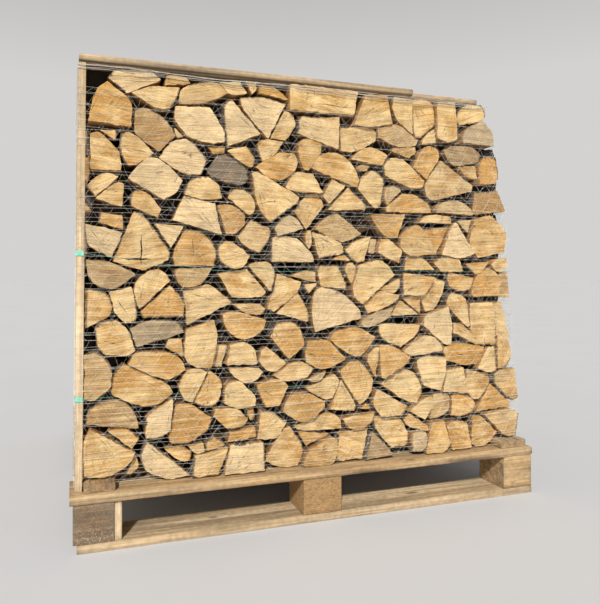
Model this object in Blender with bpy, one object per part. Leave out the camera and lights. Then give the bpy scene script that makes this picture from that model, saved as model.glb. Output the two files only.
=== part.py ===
"""A pallet of split firewood: three rows of short logs stacked on a low wooden pallet inside a net.

The logs lie front to back. Outlines of the stack are in centimetres: x from the left end of the lead
board, z up from the top of the deck. Every other size is in metres, with the ground at z = 0.
"""
import math
import random

import bmesh
import bpy
from mathutils import Matrix, Vector

for old in list(bpy.data.objects):
    bpy.data.objects.remove(old, do_unlink=True)

# Overall sizes of the pallet
WIDTH = 1.200
DEPTH = 1.000
BOTTOM_BOARD_THICKNESS = 0.019
BLOCK_HEIGHT = 0.086
DECK_BOARD_THICKNESS = 0.019
DECK_TOP = BOTTOM_BOARD_THICKNESS + BLOCK_HEIGHT + DECK_BOARD_THICKNESS
FIT = 0.0004

# Blocks: left and right edges across the width, and their depth
BLOCK_DEPTH = 0.100
BLOCK_COLUMNS = {"left": (-0.593, -0.508), "middle": (-0.068, 0.030), "right": (0.508, 0.598)}
ROW_CENTRES = {"front": -0.447, "middle": 0.0, "back": 0.447}
STRIP_THICKNESS = 0.017
BOTTOM_BOARD_LEFT = -0.585
BOTTOM_BOARD_WIDTH = 0.100

# Deck boards run left to right, the two rails run front to back on top of them
LEAD_BOARD_WIDTH = 0.110
FILL_BOARD_WIDTH = 0.095
FILL_BOARD_CENTRES = {"front": -0.225, "back": 0.225}
RAIL_THICKNESS = 0.019
RAIL_LEFT = (-0.571, -0.504)
RAIL_RIGHT = (0.507, 0.590)
RAIL_DEPTH = 0.970

# The planks on top of the stack
PLANK_UNDERSIDE = DECK_TOP + 0.9305
PLANK_THICKNESS = 0.0165
PLANK_WIDTH = 0.098

# Posts stand on the deck at the left-hand corners, outside the left rail
POST_THICKNESS = 0.0165
POST_WIDTH = 0.090
POST_FOOT_X = -0.5895
POST_LEAN = 0.0080
POST_SLOPE = POST_LEAN / (PLANK_UNDERSIDE - DECK_TOP)

# The stack of logs
LOG_LENGTH = 0.312
ROW_PITCH = 0.317
STACK_FRONT = -0.473
SLAB_SET_BACK = 0.030
STACK_TOP_CM = 93.0
STACK_LEFT_CM = 2.9
GAP_CM = 0.34
POCKET_CM = 0.15
DEEPEST_END = 0.016
SUNK_END = 0.023

# The net: heights of its rings above the deck in centimetres, and the size of its strands
RING_HEIGHTS_CM = (5.2, 19.9, 35.7, 51.7, 67.2, 83.5, 90.2)
RING_THICKNESS = 0.0014
RING_HEIGHT = 0.0040
LINK_THICKNESS = 0.0010
LINK_WIDTH = 0.0030
NET_CLEARANCE = 0.0008

# How far right the stack reaches at each height, in centimetres: (height, reach)
RIGHT_REACH = ((0.0, 118.2), (8.6, 118.1), (13.2, 117.7), (58.6, 114.9), (64.5, 114.4),
               (83.5, 110.8), (90.4, 107.6), (93.7, 106.0))

# The log ends were measured as seen on the plane of the lead board's front edge. They lie a few
# centimetres behind it, so they are this much bigger, and this much further right and up.
SPREAD = 1.0175
SPREAD_SHIFT_CM = (0.14, 0.09)

# Corners of every log end seen on the front of the stack, (x, z) in centimetres as measured
LOG_ENDS = (
    # Bottom layers, left third
    ((2.8, 3.0), (2.8, 10.4), (4.2, 12.8), (6.3, 12.2), (13.6, 6.9), (12.2, 4.5), (9.8, 2.9), (7.2, 2.2)),
    ((2.8, 13.6), (3.4, 16.0), (5.4, 18.0), (8.5, 18.8), (11.6, 17.8), (13.7, 15.2), (14.4, 12.0)),
    ((7.8, 12.3), (11.5, 12.4), (14.4, 10.0), (13.9, 8.8), (12.8, 7.9)),
    ((2.8, 19.6), (2.8, 28.8), (4.8, 29.5), (6.8, 28.4), (8.6, 25.6), (8.3, 21.8), (4.8, 19.1)),
    ((8.3, 20.2), (9.0, 24.4), (11.1, 26.6), (14.2, 25.0), (21.2, 21.1), (21.9, 19.6), (18.6, 17.4),
     (14.4, 17.4)),
    ((12.0, 26.5), (13.4, 28.8), (16.5, 29.3), (20.6, 28.9), (23.6, 27.0), (24.8, 24.7), (20.4, 22.9),
     (16.6, 24.5)),
    ((15.9, 10.0), (16.4, 14.8), (18.4, 16.6), (21.8, 18.3), (22.0, 13.4), (21.0, 11.3), (18.8, 10.1)),
    ((22.3, 16.9), (25.6, 16.7), (28.2, 15.2), (30.8, 13.3), (30.0, 10.8), (28.2, 9.1), (25.6, 8.1),
     (21.8, 8.3), (20.8, 9.8)),
    ((15.0, 5.4), (15.2, 8.2), (16.1, 9.1), (18.4, 7.6), (25.9, 0.6), (20.6, 0.3), (16.4, 2.4)),
    ((20.2, 7.2), (24.6, 7.0), (26.2, 5.9), (25.8, 4.1), (23.6, 4.2), (21.2, 5.8)),
    ((25.4, 7.5), (28.7, 8.0), (29.1, 6.0), (27.2, 5.7)),
    ((29.2, 7.8), (31.4, 8.9), (33.9, 6.9), (33.2, 6.2), (29.4, 5.9)),
    ((27.1, 5.4), (34.5, 6.5), (34.2, 4.0), (32.2, 0.3), (26.2, 0.3), (26.2, 2.4)),
    ((33.6, 0.3), (34.4, 4.0), (35.1, 6.9), (43.2, 6.8), (43.3, 0.3)),
    ((34.6, 7.6), (35.2, 9.6), (38.4, 10.5), (41.0, 10.6), (41.4, 8.2), (38.0, 7.7)),
    ((31.2, 13.7), (31.8, 15.4), (34.0, 15.6), (37.0, 14.8), (39.5, 12.3), (37.6, 10.8), (34.6, 10.8),
     (32.4, 12.0)),
    ((33.8, 16.4), (34.0, 20.2), (35.2, 21.4), (37.6, 21.2), (40.0, 19.4), (41.2, 17.4), (41.2, 15.3),
     (36.6, 15.2)),
    ((23.4, 20.6), (24.2, 23.4), (26.0, 24.7), (28.5, 24.8), (29.9, 24.0), (28.6, 20.8), (26.2, 17.3),
     (24.6, 17.9), (23.6, 19.4)),
    ((30.2, 24.2), (31.8, 23.6), (33.2, 21.4), (33.0, 18.4), (31.6, 16.1), (29.2, 16.0), (26.4, 17.3),
     (28.9, 21.0)),
    ((20.5, 29.8), (21.1, 31.7), (24.0, 31.6), (24.3, 27.5), (22.6, 28.3)),
    ((24.6, 30.6), (24.9, 33.8), (31.3, 35.5), (32.0, 31.0), (30.8, 24.9), (26.8, 25.3), (24.7, 27.4)),
    ((34.3, 25.3), (35.0, 29.8), (38.4, 30.3), (40.6, 29.0), (41.6, 26.9), (41.6, 25.2)),
    ((34.8, 24.4), (42.4, 23.9), (43.3, 23.1), (41.4, 21.3), (39.0, 20.9), (36.4, 22.2)),
    # Bottom layers, middle third
    ((42.0, 7.4), (42.8, 14.0), (45.0, 13.8), (49.2, 11.0), (48.7, 9.2), (46.8, 7.4), (45.2, 6.9)),
    ((43.5, 2.3), (48.8, 9.6), (50.3, 9.7), (52.8, 6.3), (53.6, 3.8), (52.3, 0.3), (47.6, 0.3)),
    ((53.0, 0.3), (54.6, 3.9), (60.6, 6.6), (61.8, 5.9), (61.8, 2.4), (60.4, 0.3)),
    ((52.0, 8.4), (55.5, 8.3), (60.2, 7.0), (54.2, 4.9), (53.0, 6.4)),
    ((51.0, 9.8), (54.8, 10.6), (57.8, 12.2), (61.6, 11.8), (63.6, 9.9), (63.6, 8.2), (58.0, 8.5),
     (52.2, 8.9)),
    ((63.3, 10.9), (69.6, 12.3), (72.2, 12.0), (71.4, 9.8), (69.0, 8.1), (65.8, 8.1)),
    ((61.6, 0.3), (62.8, 7.1), (66.0, 8.0), (70.8, 8.0), (70.2, 3.8), (69.0, 0.3)),
    ((69.5, 0.3), (71.2, 7.3), (74.0, 5.2), (77.5, 0.9), (76.8, 0.3)),
    ((72.3, 10.6), (79.8, 9.6), (81.2, 7.0), (82.1, 5.6), (82.4, 2.5), (77.4, 2.6), (73.6, 6.8)),
    ((72.8, 17.6), (76.8, 15.8), (81.2, 12.8), (80.0, 10.4), (74.6, 10.3), (72.4, 12.0), (71.7, 13.8),
     (72.0, 15.6)),
    ((62.9, 21.6), (63.0, 23.2), (65.4, 24.9), (67.8, 24.9), (69.6, 23.6), (71.3, 20.8), (71.2, 17.6),
     (69.6, 15.0), (67.8, 14.1)),
    ((62.8, 20.4), (64.0, 19.9), (67.4, 13.4), (67.0, 12.3), (63.8, 12.3), (59.9, 13.4), (61.0, 16.0)),
    ((53.8, 18.8), (58.0, 19.2), (59.8, 21.6), (61.4, 21.8), (62.6, 20.0), (62.4, 17.4), (61.0, 15.9),
     (58.6, 16.0)),
    ((54.4, 21.0), (55.4, 20.2), (57.8, 20.7), (59.0, 22.6), (58.2, 22.9), (56.4, 22.4)),
    ((47.8, 13.8), (49.4, 17.2), (53.2, 17.9), (58.7, 15.4), (58.6, 14.1), (54.8, 11.1), (52.0, 11.2)),
    ((41.3, 20.4), (44.0, 21.5), (46.6, 21.5), (49.3, 19.8), (48.9, 18.0), (47.0, 15.2), (43.6, 15.0),
     (42.3, 17.0)),
    ((45.3, 22.4), (49.8, 25.0), (53.0, 25.1), (55.7, 23.4), (53.8, 21.5), (51.4, 20.8), (48.2, 21.0)),
    ((42.6, 25.6), (43.0, 28.4), (44.4, 28.9), (49.2, 25.0), (48.9, 23.9), (46.8, 23.2), (44.2, 23.6)),
    ((44.9, 31.4), (45.6, 33.6), (47.2, 34.9), (50.6, 34.7), (52.2, 33.2), (53.6, 29.2), (51.8, 27.5),
     (49.6, 26.0), (48.4, 26.6), (46.0, 29.4)),
    ((53.9, 30.0), (59.4, 30.1), (64.2, 25.4), (58.8, 23.3), (56.2, 23.7), (53.4, 26.0)),
    ((60.3, 30.2), (61.8, 32.0), (65.2, 33.2), (67.6, 33.0), (73.1, 30.3), (71.0, 27.6), (69.2, 26.0),
     (66.8, 26.0)),
    ((70.1, 25.4), (71.6, 28.2), (73.4, 28.3), (73.1, 21.6), (72.4, 20.4), (71.6, 21.4), (70.3, 23.8)),
    ((73.6, 28.4), (77.0, 28.1), (80.2, 26.3), (82.2, 25.2), (81.9, 23.9), (78.6, 22.7), (75.2, 19.8),
     (74.0, 20.4), (73.4, 22.6)),
    ((74.6, 18.5), (76.4, 20.4), (79.2, 22.2), (82.0, 22.0), (84.2, 20.7), (85.9, 17.8), (86.0, 15.4),
     (84.9, 13.0), (82.0, 13.7)),
    ((68.5, 12.9), (70.2, 14.2), (71.2, 12.8)),
    # Bottom layers, right third
    ((82.9, 5.7), (84.4, 6.3), (86.6, 5.7), (87.8, 3.8), (87.0, 1.8), (85.4, 0.8), (83.2, 1.2)),
    ((80.4, 9.5), (81.6, 10.9), (84.2, 9.6), (87.4, 7.2), (87.3, 5.9), (84.6, 6.7), (81.6, 7.9)),
    ((82.0, 11.4), (86.0, 14.2), (88.8, 14.6), (89.0, 12.4), (87.8, 9.8), (86.8, 8.8), (85.2, 9.2)),
    ((89.0, 8.7), (89.6, 14.9), (93.6, 15.0), (94.7, 13.8), (94.6, 10.8), (92.4, 9.3)),
    ((95.1, 14.5), (100.2, 14.0), (102.4, 11.8), (101.2, 9.8), (97.8, 8.8), (95.0, 9.3)),
    ((91.9, 15.8), (93.3, 21.3), (98.3, 21.6), (99.5, 15.0)),
    ((99.9, 20.7), (103.0, 20.6), (106.9, 19.5), (107.2, 17.2), (105.6, 15.3), (103.6, 12.8),
     (102.0, 13.2), (100.1, 15.4)),
    ((107.9, 19.3), (109.6, 20.4), (114.6, 20.8), (115.5, 12.8), (113.4, 12.3), (108.0, 17.0)),
    ((102.7, 9.8), (104.4, 12.6), (107.4, 16.7), (109.2, 15.4), (113.8, 11.3), (113.6, 10.3)),
    ((104.9, 8.9), (108.4, 9.5), (113.6, 9.7), (115.8, 8.5), (114.6, 2.7), (111.4, 2.9), (108.4, 5.8)),
    ((101.2, 5.0), (101.8, 8.6), (104.0, 8.4), (106.6, 6.8), (109.6, 3.6), (109.2, 2.3), (106.6, 0.6),
     (103.0, 0.3), (101.6, 1.2)),
    ((93.2, 6.8), (95.4, 7.7), (99.6, 7.0), (100.6, 5.0), (101.0, 0.3), (95.2, 0.3), (94.4, 2.4)),
    ((86.2, 0.3), (88.0, 2.4), (88.0, 7.8), (92.2, 8.2), (94.2, 2.2), (92.4, 0.3)),
    ((84.2, 24.2), (86.6, 25.3), (92.6, 24.7), (92.9, 21.6), (91.4, 16.1), (89.4, 16.4), (86.4, 17.8),
     (84.8, 21.4)),
    ((80.4, 26.7), (83.8, 29.2), (86.6, 30.4), (89.6, 29.8), (92.0, 27.4), (91.9, 26.4), (82.2, 25.6)),
    ((92.4, 27.2), (96.6, 28.0), (105.0, 26.9), (105.1, 25.0), (103.8, 22.9), (100.2, 22.2), (93.2, 23.8)),
    ((102.2, 21.5), (104.9, 23.2), (105.8, 26.6), (108.2, 26.8), (108.9, 23.6), (108.4, 20.6),
     (106.6, 20.1)),
    ((108.5, 29.9), (112.3, 28.0), (113.1, 24.3), (112.0, 21.8), (108.8, 20.9), (109.3, 23.6),
     (108.6, 27.0)),
    # Middle layers, left third
    ((5.0, 33.4), (5.2, 34.9), (7.0, 36.0), (9.6, 36.0), (12.2, 33.6), (13.6, 29.3), (12.6, 28.6),
     (7.4, 28.7), (5.6, 30.8)),
    ((12.7, 34.2), (16.4, 35.8), (21.6, 35.9), (24.3, 34.5), (24.4, 33.0), (14.0, 30.1)),
    ((24.0, 42.6), (28.4, 43.7), (30.4, 43.8), (35.5, 39.6), (34.0, 38.2), (25.0, 34.5), (24.5, 38.4)),
    ((33.2, 37.0), (35.6, 37.8), (39.0, 36.2), (43.6, 35.6), (43.0, 33.6), (40.9, 31.8), (38.4, 31.2),
     (35.6, 32.2), (33.8, 34.4)),
    ((36.0, 39.2), (42.6, 39.0), (43.7, 37.9), (42.8, 36.9), (39.2, 36.8)),
    ((14.6, 37.8), (21.2, 43.6), (22.8, 42.4), (24.1, 39.8), (24.2, 36.6), (22.8, 36.1), (15.2, 36.6)),
    ((13.4, 42.8), (14.4, 45.2), (17.6, 47.2), (19.2, 47.1), (21.4, 44.8), (14.5, 38.4), (13.9, 39.4)),
    ((8.0, 42.2), (12.8, 43.3), (14.0, 37.2), (13.4, 35.6), (11.6, 35.5), (9.2, 38.0)),
    ((3.1, 34.5), (3.1, 43.2), (5.4, 42.8), (7.7, 41.8), (8.8, 39.6), (8.2, 37.4), (4.8, 34.9)),
    ((3.2, 49.4), (8.4, 48.7), (13.7, 46.2), (11.8, 44.2), (9.4, 43.2), (6.4, 43.4), (4.2, 45.1),
     (3.2, 47.2)),
    ((3.0, 56.9), (5.0, 57.1), (10.9, 55.3), (9.8, 51.4), (8.4, 49.9), (6.2, 50.6), (3.8, 52.6),
     (3.0, 54.8)),
    ((5.8, 57.2), (6.2, 59.3), (10.8, 58.9), (11.0, 56.0), (10.4, 55.9)),
    ((8.6, 49.1), (12.0, 57.4), (13.4, 60.0), (14.6, 60.0), (21.4, 51.0), (21.0, 49.6), (18.6, 48.0),
     (15.6, 47.2), (12.6, 47.4)),
    ((17.8, 57.3), (20.6, 57.6), (24.2, 56.9), (23.4, 54.4), (21.4, 52.0)),
    ((22.3, 48.2), (22.2, 51.4), (24.8, 56.4), (28.0, 55.8), (30.6, 53.8), (31.9, 51.0), (31.3, 48.2)),
    ((22.6, 47.4), (30.9, 47.6), (30.2, 45.9), (28.2, 44.0), (25.6, 43.0), (24.0, 43.2), (22.6, 45.2)),
    ((32.2, 52.4), (33.4, 53.6), (35.6, 53.3), (39.7, 50.4), (39.4, 49.2), (37.6, 47.6), (34.8, 47.8),
     (32.5, 49.4)),
    ((32.4, 46.3), (35.8, 46.9), (39.2, 47.4), (43.9, 42.0), (43.2, 41.1), (35.6, 40.9)),
    ((39.4, 48.4), (42.6, 49.1), (44.4, 48.9), (46.2, 47.2), (46.3, 44.2), (45.2, 42.1), (44.4, 42.3)),
    ((21.9, 58.4), (23.6, 62.4), (24.6, 63.9), (31.8, 62.3), (33.3, 57.2), (33.2, 55.3), (30.8, 55.4),
     (26.4, 56.6)),
    ((32.2, 62.0), (35.6, 62.0), (38.7, 59.9), (38.4, 57.6), (36.4, 55.7), (34.2, 55.3), (33.2, 58.0)),
    ((36.9, 54.9), (40.4, 58.9), (42.2, 58.5), (44.9, 57.0), (45.1, 55.2), (42.6, 51.3), (39.6, 52.4)),
    # Middle layers, middle third
    ((68.4, 33.5), (70.0, 35.2), (77.5, 37.8), (76.4, 35.2), (73.2, 33.4), (70.4, 32.9)),
    ((77.2, 35.8), (80.0, 39.5), (82.0, 38.2), (85.2, 35.9), (84.6, 35.5)),
    ((69.3, 38.6), (71.2, 40.6), (73.6, 41.8), (79.4, 40.8), (78.4, 39.4), (74.0, 37.2), (70.6, 36.2),
     (69.6, 37.0)),
    ((73.8, 42.5), (76.0, 43.6), (79.8, 45.3), (79.6, 43.0), (77.8, 41.5), (75.4, 41.9)),
    ((66.0, 42.6), (67.6, 48.2), (70.2, 49.3), (73.2, 49.6), (75.4, 48.8), (77.8, 45.9), (77.2, 45.0),
     (68.9, 38.7), (66.4, 40.6)),
    ((55.9, 36.4), (56.5, 41.8), (58.0, 42.9), (63.6, 41.5), (66.4, 39.4), (68.9, 37.0), (69.0, 35.2),
     (57.8, 32.0), (56.6, 32.2)),
    ((46.4, 37.0), (52.1, 42.0), (53.6, 39.8), (54.9, 36.0), (54.7, 34.7), (52.0, 35.0)),
    ((44.5, 39.4), (46.4, 43.6), (46.6, 46.3), (52.9, 44.3), (51.6, 41.6), (45.6, 37.2), (44.4, 38.0)),
    ((45.1, 49.2), (45.3, 54.9), (51.2, 54.8), (53.2, 53.2), (55.6, 50.6), (55.8, 49.1), (47.0, 48.8)),
    ((45.4, 57.0), (47.0, 59.0), (48.8, 60.0), (51.0, 59.5), (52.9, 57.0), (52.6, 56.4), (46.6, 55.1)),
    ((53.5, 54.0), (54.0, 56.6), (54.8, 56.6), (55.2, 53.6), (54.4, 52.2)),
    ((55.5, 56.4), (58.8, 55.9), (62.2, 54.2), (63.9, 52.5), (63.8, 51.3), (57.4, 50.0), (56.7, 51.2)),
    ((56.2, 56.9), (58.0, 58.9), (62.3, 61.0), (69.0, 56.2), (63.5, 54.0), (58.8, 56.3)),
    ((64.3, 52.0), (67.8, 54.6), (71.4, 55.4), (70.9, 52.8), (69.4, 49.5), (67.4, 49.1)),
    ((71.0, 61.0), (80.9, 61.3), (79.5, 56.8), (78.6, 55.6), (75.6, 55.6), (73.0, 57.6)),
    ((73.2, 51.6), (74.0, 55.0), (75.8, 55.0), (80.0, 52.4), (79.7, 50.2), (79.0, 49.0), (77.6, 49.4)),
    ((79.2, 52.8), (80.0, 56.2), (81.6, 57.8), (83.8, 58.6), (86.2, 57.6), (90.1, 51.3), (86.0, 50.7),
     (81.4, 51.1)),
    ((57.3, 46.4), (58.3, 48.4), (60.6, 48.9), (62.6, 48.3), (65.0, 43.4), (64.4, 42.6), (58.2, 43.3),
     (57.6, 44.4)),
    ((64.4, 47.6), (65.0, 48.9), (66.2, 48.9), (67.2, 47.6), (66.4, 44.4), (65.9, 43.8), (65.2, 45.0)),
    ((61.0, 49.9), (62.2, 50.6), (64.2, 50.6), (65.6, 49.4), (62.8, 49.2)),
    ((53.1, 43.7), (54.6, 44.2), (56.6, 43.8), (55.2, 41.8), (54.3, 41.4)),
    # Middle layers, right third
    ((73.7, 31.8), (74.2, 34.0), (80.0, 33.9), (85.7, 33.1), (85.0, 31.4), (82.4, 28.9), (80.0, 27.7),
     (77.0, 28.6), (75.0, 29.8)),
    ((86.9, 57.7), (94.2, 58.6), (93.6, 56.0), (91.0, 51.3), (90.5, 51.2)),
    ((85.0, 59.5), (88.2, 61.3), (94.8, 61.2), (94.9, 59.4), (90.8, 58.8), (86.6, 58.9)),
    ((95.0, 59.2), (96.2, 59.5), (97.6, 57.8), (99.8, 55.0), (101.6, 51.5), (96.6, 50.3), (92.0, 50.7),
     (91.4, 51.6), (94.0, 56.2)),
    ((96.9, 60.1), (98.6, 60.7), (101.6, 60.6), (101.4, 58.0), (100.4, 57.0), (99.2, 57.4)),
    ((101.9, 60.6), (104.4, 61.6), (107.6, 61.7), (112.5, 57.5), (112.7, 54.4), (112.0, 52.2),
     (105.2, 50.3), (103.4, 50.5), (100.4, 54.6)),
    ((89.2, 49.1), (91.8, 50.4), (97.0, 50.0), (98.2, 47.0), (91.4, 47.0)),
    ((99.0, 48.9), (101.6, 49.4), (106.6, 49.5), (105.6, 47.8), (103.2, 46.4), (101.6, 46.5)),
    ((106.9, 48.8), (108.6, 50.0), (112.0, 50.3), (112.3, 48.4), (110.8, 47.0), (108.6, 47.0)),
    ((93.5, 45.6), (94.2, 46.7), (98.2, 46.1), (101.7, 45.1), (100.6, 42.2), (97.0, 41.8), (94.4, 43.0)),
    ((100.9, 41.2), (102.4, 45.6), (105.8, 47.9), (107.4, 46.8), (109.6, 45.6), (109.7, 40.4),
     (101.4, 40.2)),
    ((110.0, 46.5), (111.8, 47.8), (112.9, 46.6), (113.2, 43.2), (113.7, 40.1), (110.0, 40.2)),
    ((86.2, 40.8), (90.0, 45.4), (93.3, 44.4), (92.4, 40.8), (89.6, 36.7), (87.5, 36.4)),
    ((79.9, 41.0), (79.9, 46.6), (83.0, 46.2), (89.6, 45.2), (86.0, 41.0)),
    ((80.3, 40.2), (85.9, 40.6), (85.8, 36.1), (84.8, 36.8)),
    ((80.8, 47.3), (80.6, 49.0), (81.4, 50.6), (86.4, 50.2), (89.8, 47.3), (84.0, 47.0)),
    ((100.3, 38.4), (107.2, 38.7), (107.9, 36.4), (108.6, 31.0), (108.2, 27.3), (102.4, 27.6),
     (100.9, 31.0)),
    ((95.0, 31.0), (95.0, 33.2), (97.4, 33.0), (99.6, 31.0), (100.6, 30.4), (102.0, 27.8), (99.0, 28.6)),
    ((93.4, 38.4), (93.8, 41.0), (95.6, 41.4), (99.0, 39.8), (99.8, 37.8), (100.3, 32.6), (99.4, 32.5),
     (94.6, 36.8)),
    ((108.3, 38.4), (110.9, 38.6), (112.9, 33.4), (113.6, 29.0), (112.2, 28.6), (109.2, 30.0),
     (108.6, 34.0)),
    ((86.1, 33.0), (86.4, 35.4), (88.2, 36.4), (93.4, 38.0), (94.6, 33.0), (94.4, 27.9), (93.2, 27.8),
     (91.2, 28.8)),
    # Top layers, left third
    ((5.2, 62.6), (6.6, 64.3), (10.2, 66.2), (11.2, 66.0), (11.4, 62.0), (10.8, 61.0), (6.4, 61.7)),
    ((3.2, 65.0), (5.0, 67.0), (7.0, 68.1), (8.8, 68.0), (10.4, 67.2), (5.6, 62.8), (4.0, 63.4)),
    ((4.2, 68.9), (4.2, 76.6), (5.9, 77.0), (9.2, 74.6), (10.2, 73.2), (11.0, 69.4), (10.6, 68.9)),
    ((6.2, 77.3), (9.6, 77.4), (9.5, 75.4), (8.4, 75.9)),
    ((10.3, 73.4), (10.6, 76.9), (12.6, 77.2), (15.2, 75.5), (17.8, 73.0), (12.8, 70.0), (11.7, 70.3)),
    ((3.7, 78.9), (4.3, 83.4), (5.6, 86.0), (7.7, 87.7), (9.6, 86.6), (12.6, 83.7), (12.6, 78.3)),
    ((7.8, 89.0), (9.4, 90.6), (12.2, 91.4), (14.6, 91.4), (17.2, 91.0), (19.2, 89.4), (11.8, 85.9),
     (10.2, 86.6)),
    ((12.8, 85.9), (17.0, 87.6), (20.0, 88.1), (23.5, 87.9), (22.8, 85.0), (21.4, 83.4), (18.8, 82.9),
     (16.2, 83.6)),
    ((19.9, 89.0), (20.8, 90.6), (24.8, 90.6), (26.0, 89.2), (22.6, 88.2), (20.2, 88.3)),
    ((23.2, 84.5), (23.9, 87.8), (28.6, 89.8), (32.2, 90.0), (34.8, 87.9), (34.4, 87.1), (28.2, 84.9)),
    ((22.5, 83.8), (30.4, 84.2), (33.9, 78.0), (33.6, 76.7), (31.0, 76.0), (25.0, 77.2), (22.5, 80.2)),
    ((13.7, 77.4), (13.8, 82.6), (15.8, 83.2), (20.3, 81.0), (22.5, 77.2), (18.8, 73.5), (17.8, 73.8)),
    ((18.9, 72.2), (22.4, 76.3), (25.6, 76.7), (28.2, 74.9), (29.8, 72.6), (29.6, 70.2), (28.6, 68.9),
     (24.6, 69.0)),
    ((12.0, 67.1), (16.0, 71.6), (18.6, 71.7), (24.1, 67.2), (22.6, 64.6), (19.6, 62.9), (18.2, 63.2)),
    ((24.4, 64.3), (25.6, 67.0), (27.6, 68.2), (30.0, 68.2), (32.4, 66.6), (33.5, 64.4), (33.2, 63.6),
     (28.6, 63.3)),
    ((29.9, 69.2), (30.9, 72.0), (32.2, 73.4), (34.6, 73.4), (39.0, 70.5), (39.2, 67.8), (38.2, 67.0),
     (33.6, 67.5)),
    ((34.6, 74.8), (37.2, 76.1), (39.2, 76.0), (41.2, 73.4), (41.0, 71.4), (39.6, 71.3)),
    ((30.0, 75.3), (31.6, 75.8), (34.1, 75.6), (33.9, 74.2), (32.2, 73.6), (31.2, 73.8)),
    ((33.9, 85.4), (35.4, 86.6), (36.8, 85.2), (41.2, 80.8), (42.6, 79.2), (40.4, 77.8), (34.4, 75.6),
     (33.9, 78.8)),
    ((37.6, 87.4), (44.0, 88.0), (48.8, 86.6), (48.4, 85.0), (44.4, 78.2), (43.0, 79.0), (38.4, 84.8)),
    ((32.6, 90.2), (33.2, 90.9), (37.6, 90.8), (39.2, 88.2), (38.2, 87.5), (35.2, 87.9)),
    ((39.0, 90.6), (41.2, 90.7), (41.3, 89.2), (40.2, 88.0), (39.4, 88.8)),
    ((34.9, 63.9), (35.2, 65.5), (37.2, 66.2), (39.4, 65.6), (41.0, 63.6), (41.0, 60.8), (39.9, 60.0),
     (36.0, 62.9)),
    ((12.9, 60.9), (12.8, 63.8), (13.8, 64.6), (15.9, 64.2), (19.3, 60.6), (18.6, 58.6), (16.4, 58.9),
     (14.8, 60.4)),
    # Top layers, middle third
    ((42.0, 90.4), (45.8, 90.2), (49.3, 87.5), (48.2, 87.0), (44.6, 87.6), (42.1, 88.2)),
    ((45.0, 78.3), (48.6, 85.0), (50.3, 84.8), (51.4, 82.0), (50.6, 80.2), (48.9, 78.2)),
    ((49.5, 84.8), (49.5, 91.2), (67.7, 91.2), (67.6, 88.2), (66.4, 85.1), (50.8, 84.3)),
    ((51.9, 79.8), (52.2, 83.9), (56.4, 84.7), (62.8, 84.6), (62.4, 76.6), (58.4, 77.8)),
    ((51.9, 76.0), (52.6, 78.0), (55.0, 78.8), (58.0, 77.7), (57.8, 75.4), (54.5, 71.2), (53.4, 71.2)),
    ((41.6, 76.4), (43.2, 77.8), (48.3, 77.6), (46.0, 74.4), (43.0, 72.6), (42.2, 73.6)),
    ((41.2, 71.4), (47.2, 74.9), (50.9, 75.1), (52.0, 73.0), (51.4, 71.0), (48.2, 68.6), (45.0, 68.8)),
    ((40.5, 69.8), (41.4, 70.1), (51.8, 64.6), (52.0, 63.4), (45.0, 58.4), (44.2, 58.6), (42.2, 61.4),
     (40.8, 65.4)),
    ((48.4, 66.9), (50.4, 70.2), (53.0, 70.6), (55.6, 70.2), (57.4, 67.8), (58.1, 65.6), (50.2, 65.9)),
    ((55.1, 71.2), (57.4, 74.8), (61.0, 75.8), (63.8, 75.1), (66.6, 72.7), (68.0, 69.4), (67.6, 67.4),
     (66.0, 67.6)),
    ((58.7, 65.2), (60.2, 68.8), (61.6, 69.8), (63.5, 69.3), (64.5, 67.8), (60.4, 63.3), (59.6, 63.6)),
    ((60.0, 61.9), (60.4, 63.0), (63.4, 66.2), (65.6, 67.5), (70.3, 63.5), (69.8, 62.3), (66.0, 61.8)),
    ((68.1, 67.4), (70.2, 71.4), (73.2, 72.0), (75.3, 69.8), (74.1, 63.0), (73.0, 62.8)),
    ((65.8, 74.5), (68.2, 76.7), (71.2, 77.6), (73.8, 77.2), (75.8, 75.9), (74.2, 73.3), (69.6, 74.1)),
    ((74.4, 72.8), (76.4, 75.2), (78.2, 75.7), (80.6, 75.0), (86.6, 70.3), (85.8, 68.6), (83.0, 68.1),
     (78.4, 69.3), (75.4, 71.0)),
    ((75.3, 65.8), (76.0, 68.4), (77.6, 69.1), (79.4, 68.6), (79.8, 67.2), (76.2, 63.6), (75.6, 64.2)),
    ((76.1, 62.0), (76.1, 63.2), (80.8, 66.6), (84.0, 66.5), (89.0, 63.9), (88.9, 62.0)),
    ((67.2, 72.3), (68.6, 73.2), (71.0, 72.8), (70.0, 71.8), (68.0, 71.8)),
    ((63.2, 82.0), (71.9, 82.6), (73.2, 81.6), (73.0, 79.6), (66.4, 76.4), (63.4, 76.6)),
    ((66.6, 83.1), (68.6, 89.8), (69.6, 90.7), (75.6, 90.9), (77.5, 84.8), (77.2, 84.0), (71.0, 82.8)),
    ((51.2, 61.4), (54.6, 65.3), (56.0, 65.7), (58.2, 64.3), (58.9, 62.6), (55.4, 57.5), (54.2, 57.0),
     (53.2, 57.9)),
    # Top layers, right third
    ((73.4, 82.8), (78.9, 84.1), (80.8, 82.9), (84.8, 80.5), (84.2, 79.2), (79.4, 78.4), (76.0, 78.9),
     (73.4, 80.4)),
    ((77.2, 77.9), (79.6, 78.2), (84.0, 78.7), (84.2, 77.4), (82.4, 75.7), (80.8, 75.8), (77.4, 77.1)),
    ((77.4, 88.6), (77.9, 90.9), (83.2, 91.1), (83.0, 88.0), (83.6, 82.0), (81.4, 82.8), (78.9, 85.2)),
    ((83.8, 91.1), (88.0, 91.1), (89.8, 90.0), (90.2, 85.2), (88.4, 83.6), (85.6, 81.0), (84.2, 81.6),
     (83.6, 87.4)),
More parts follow.
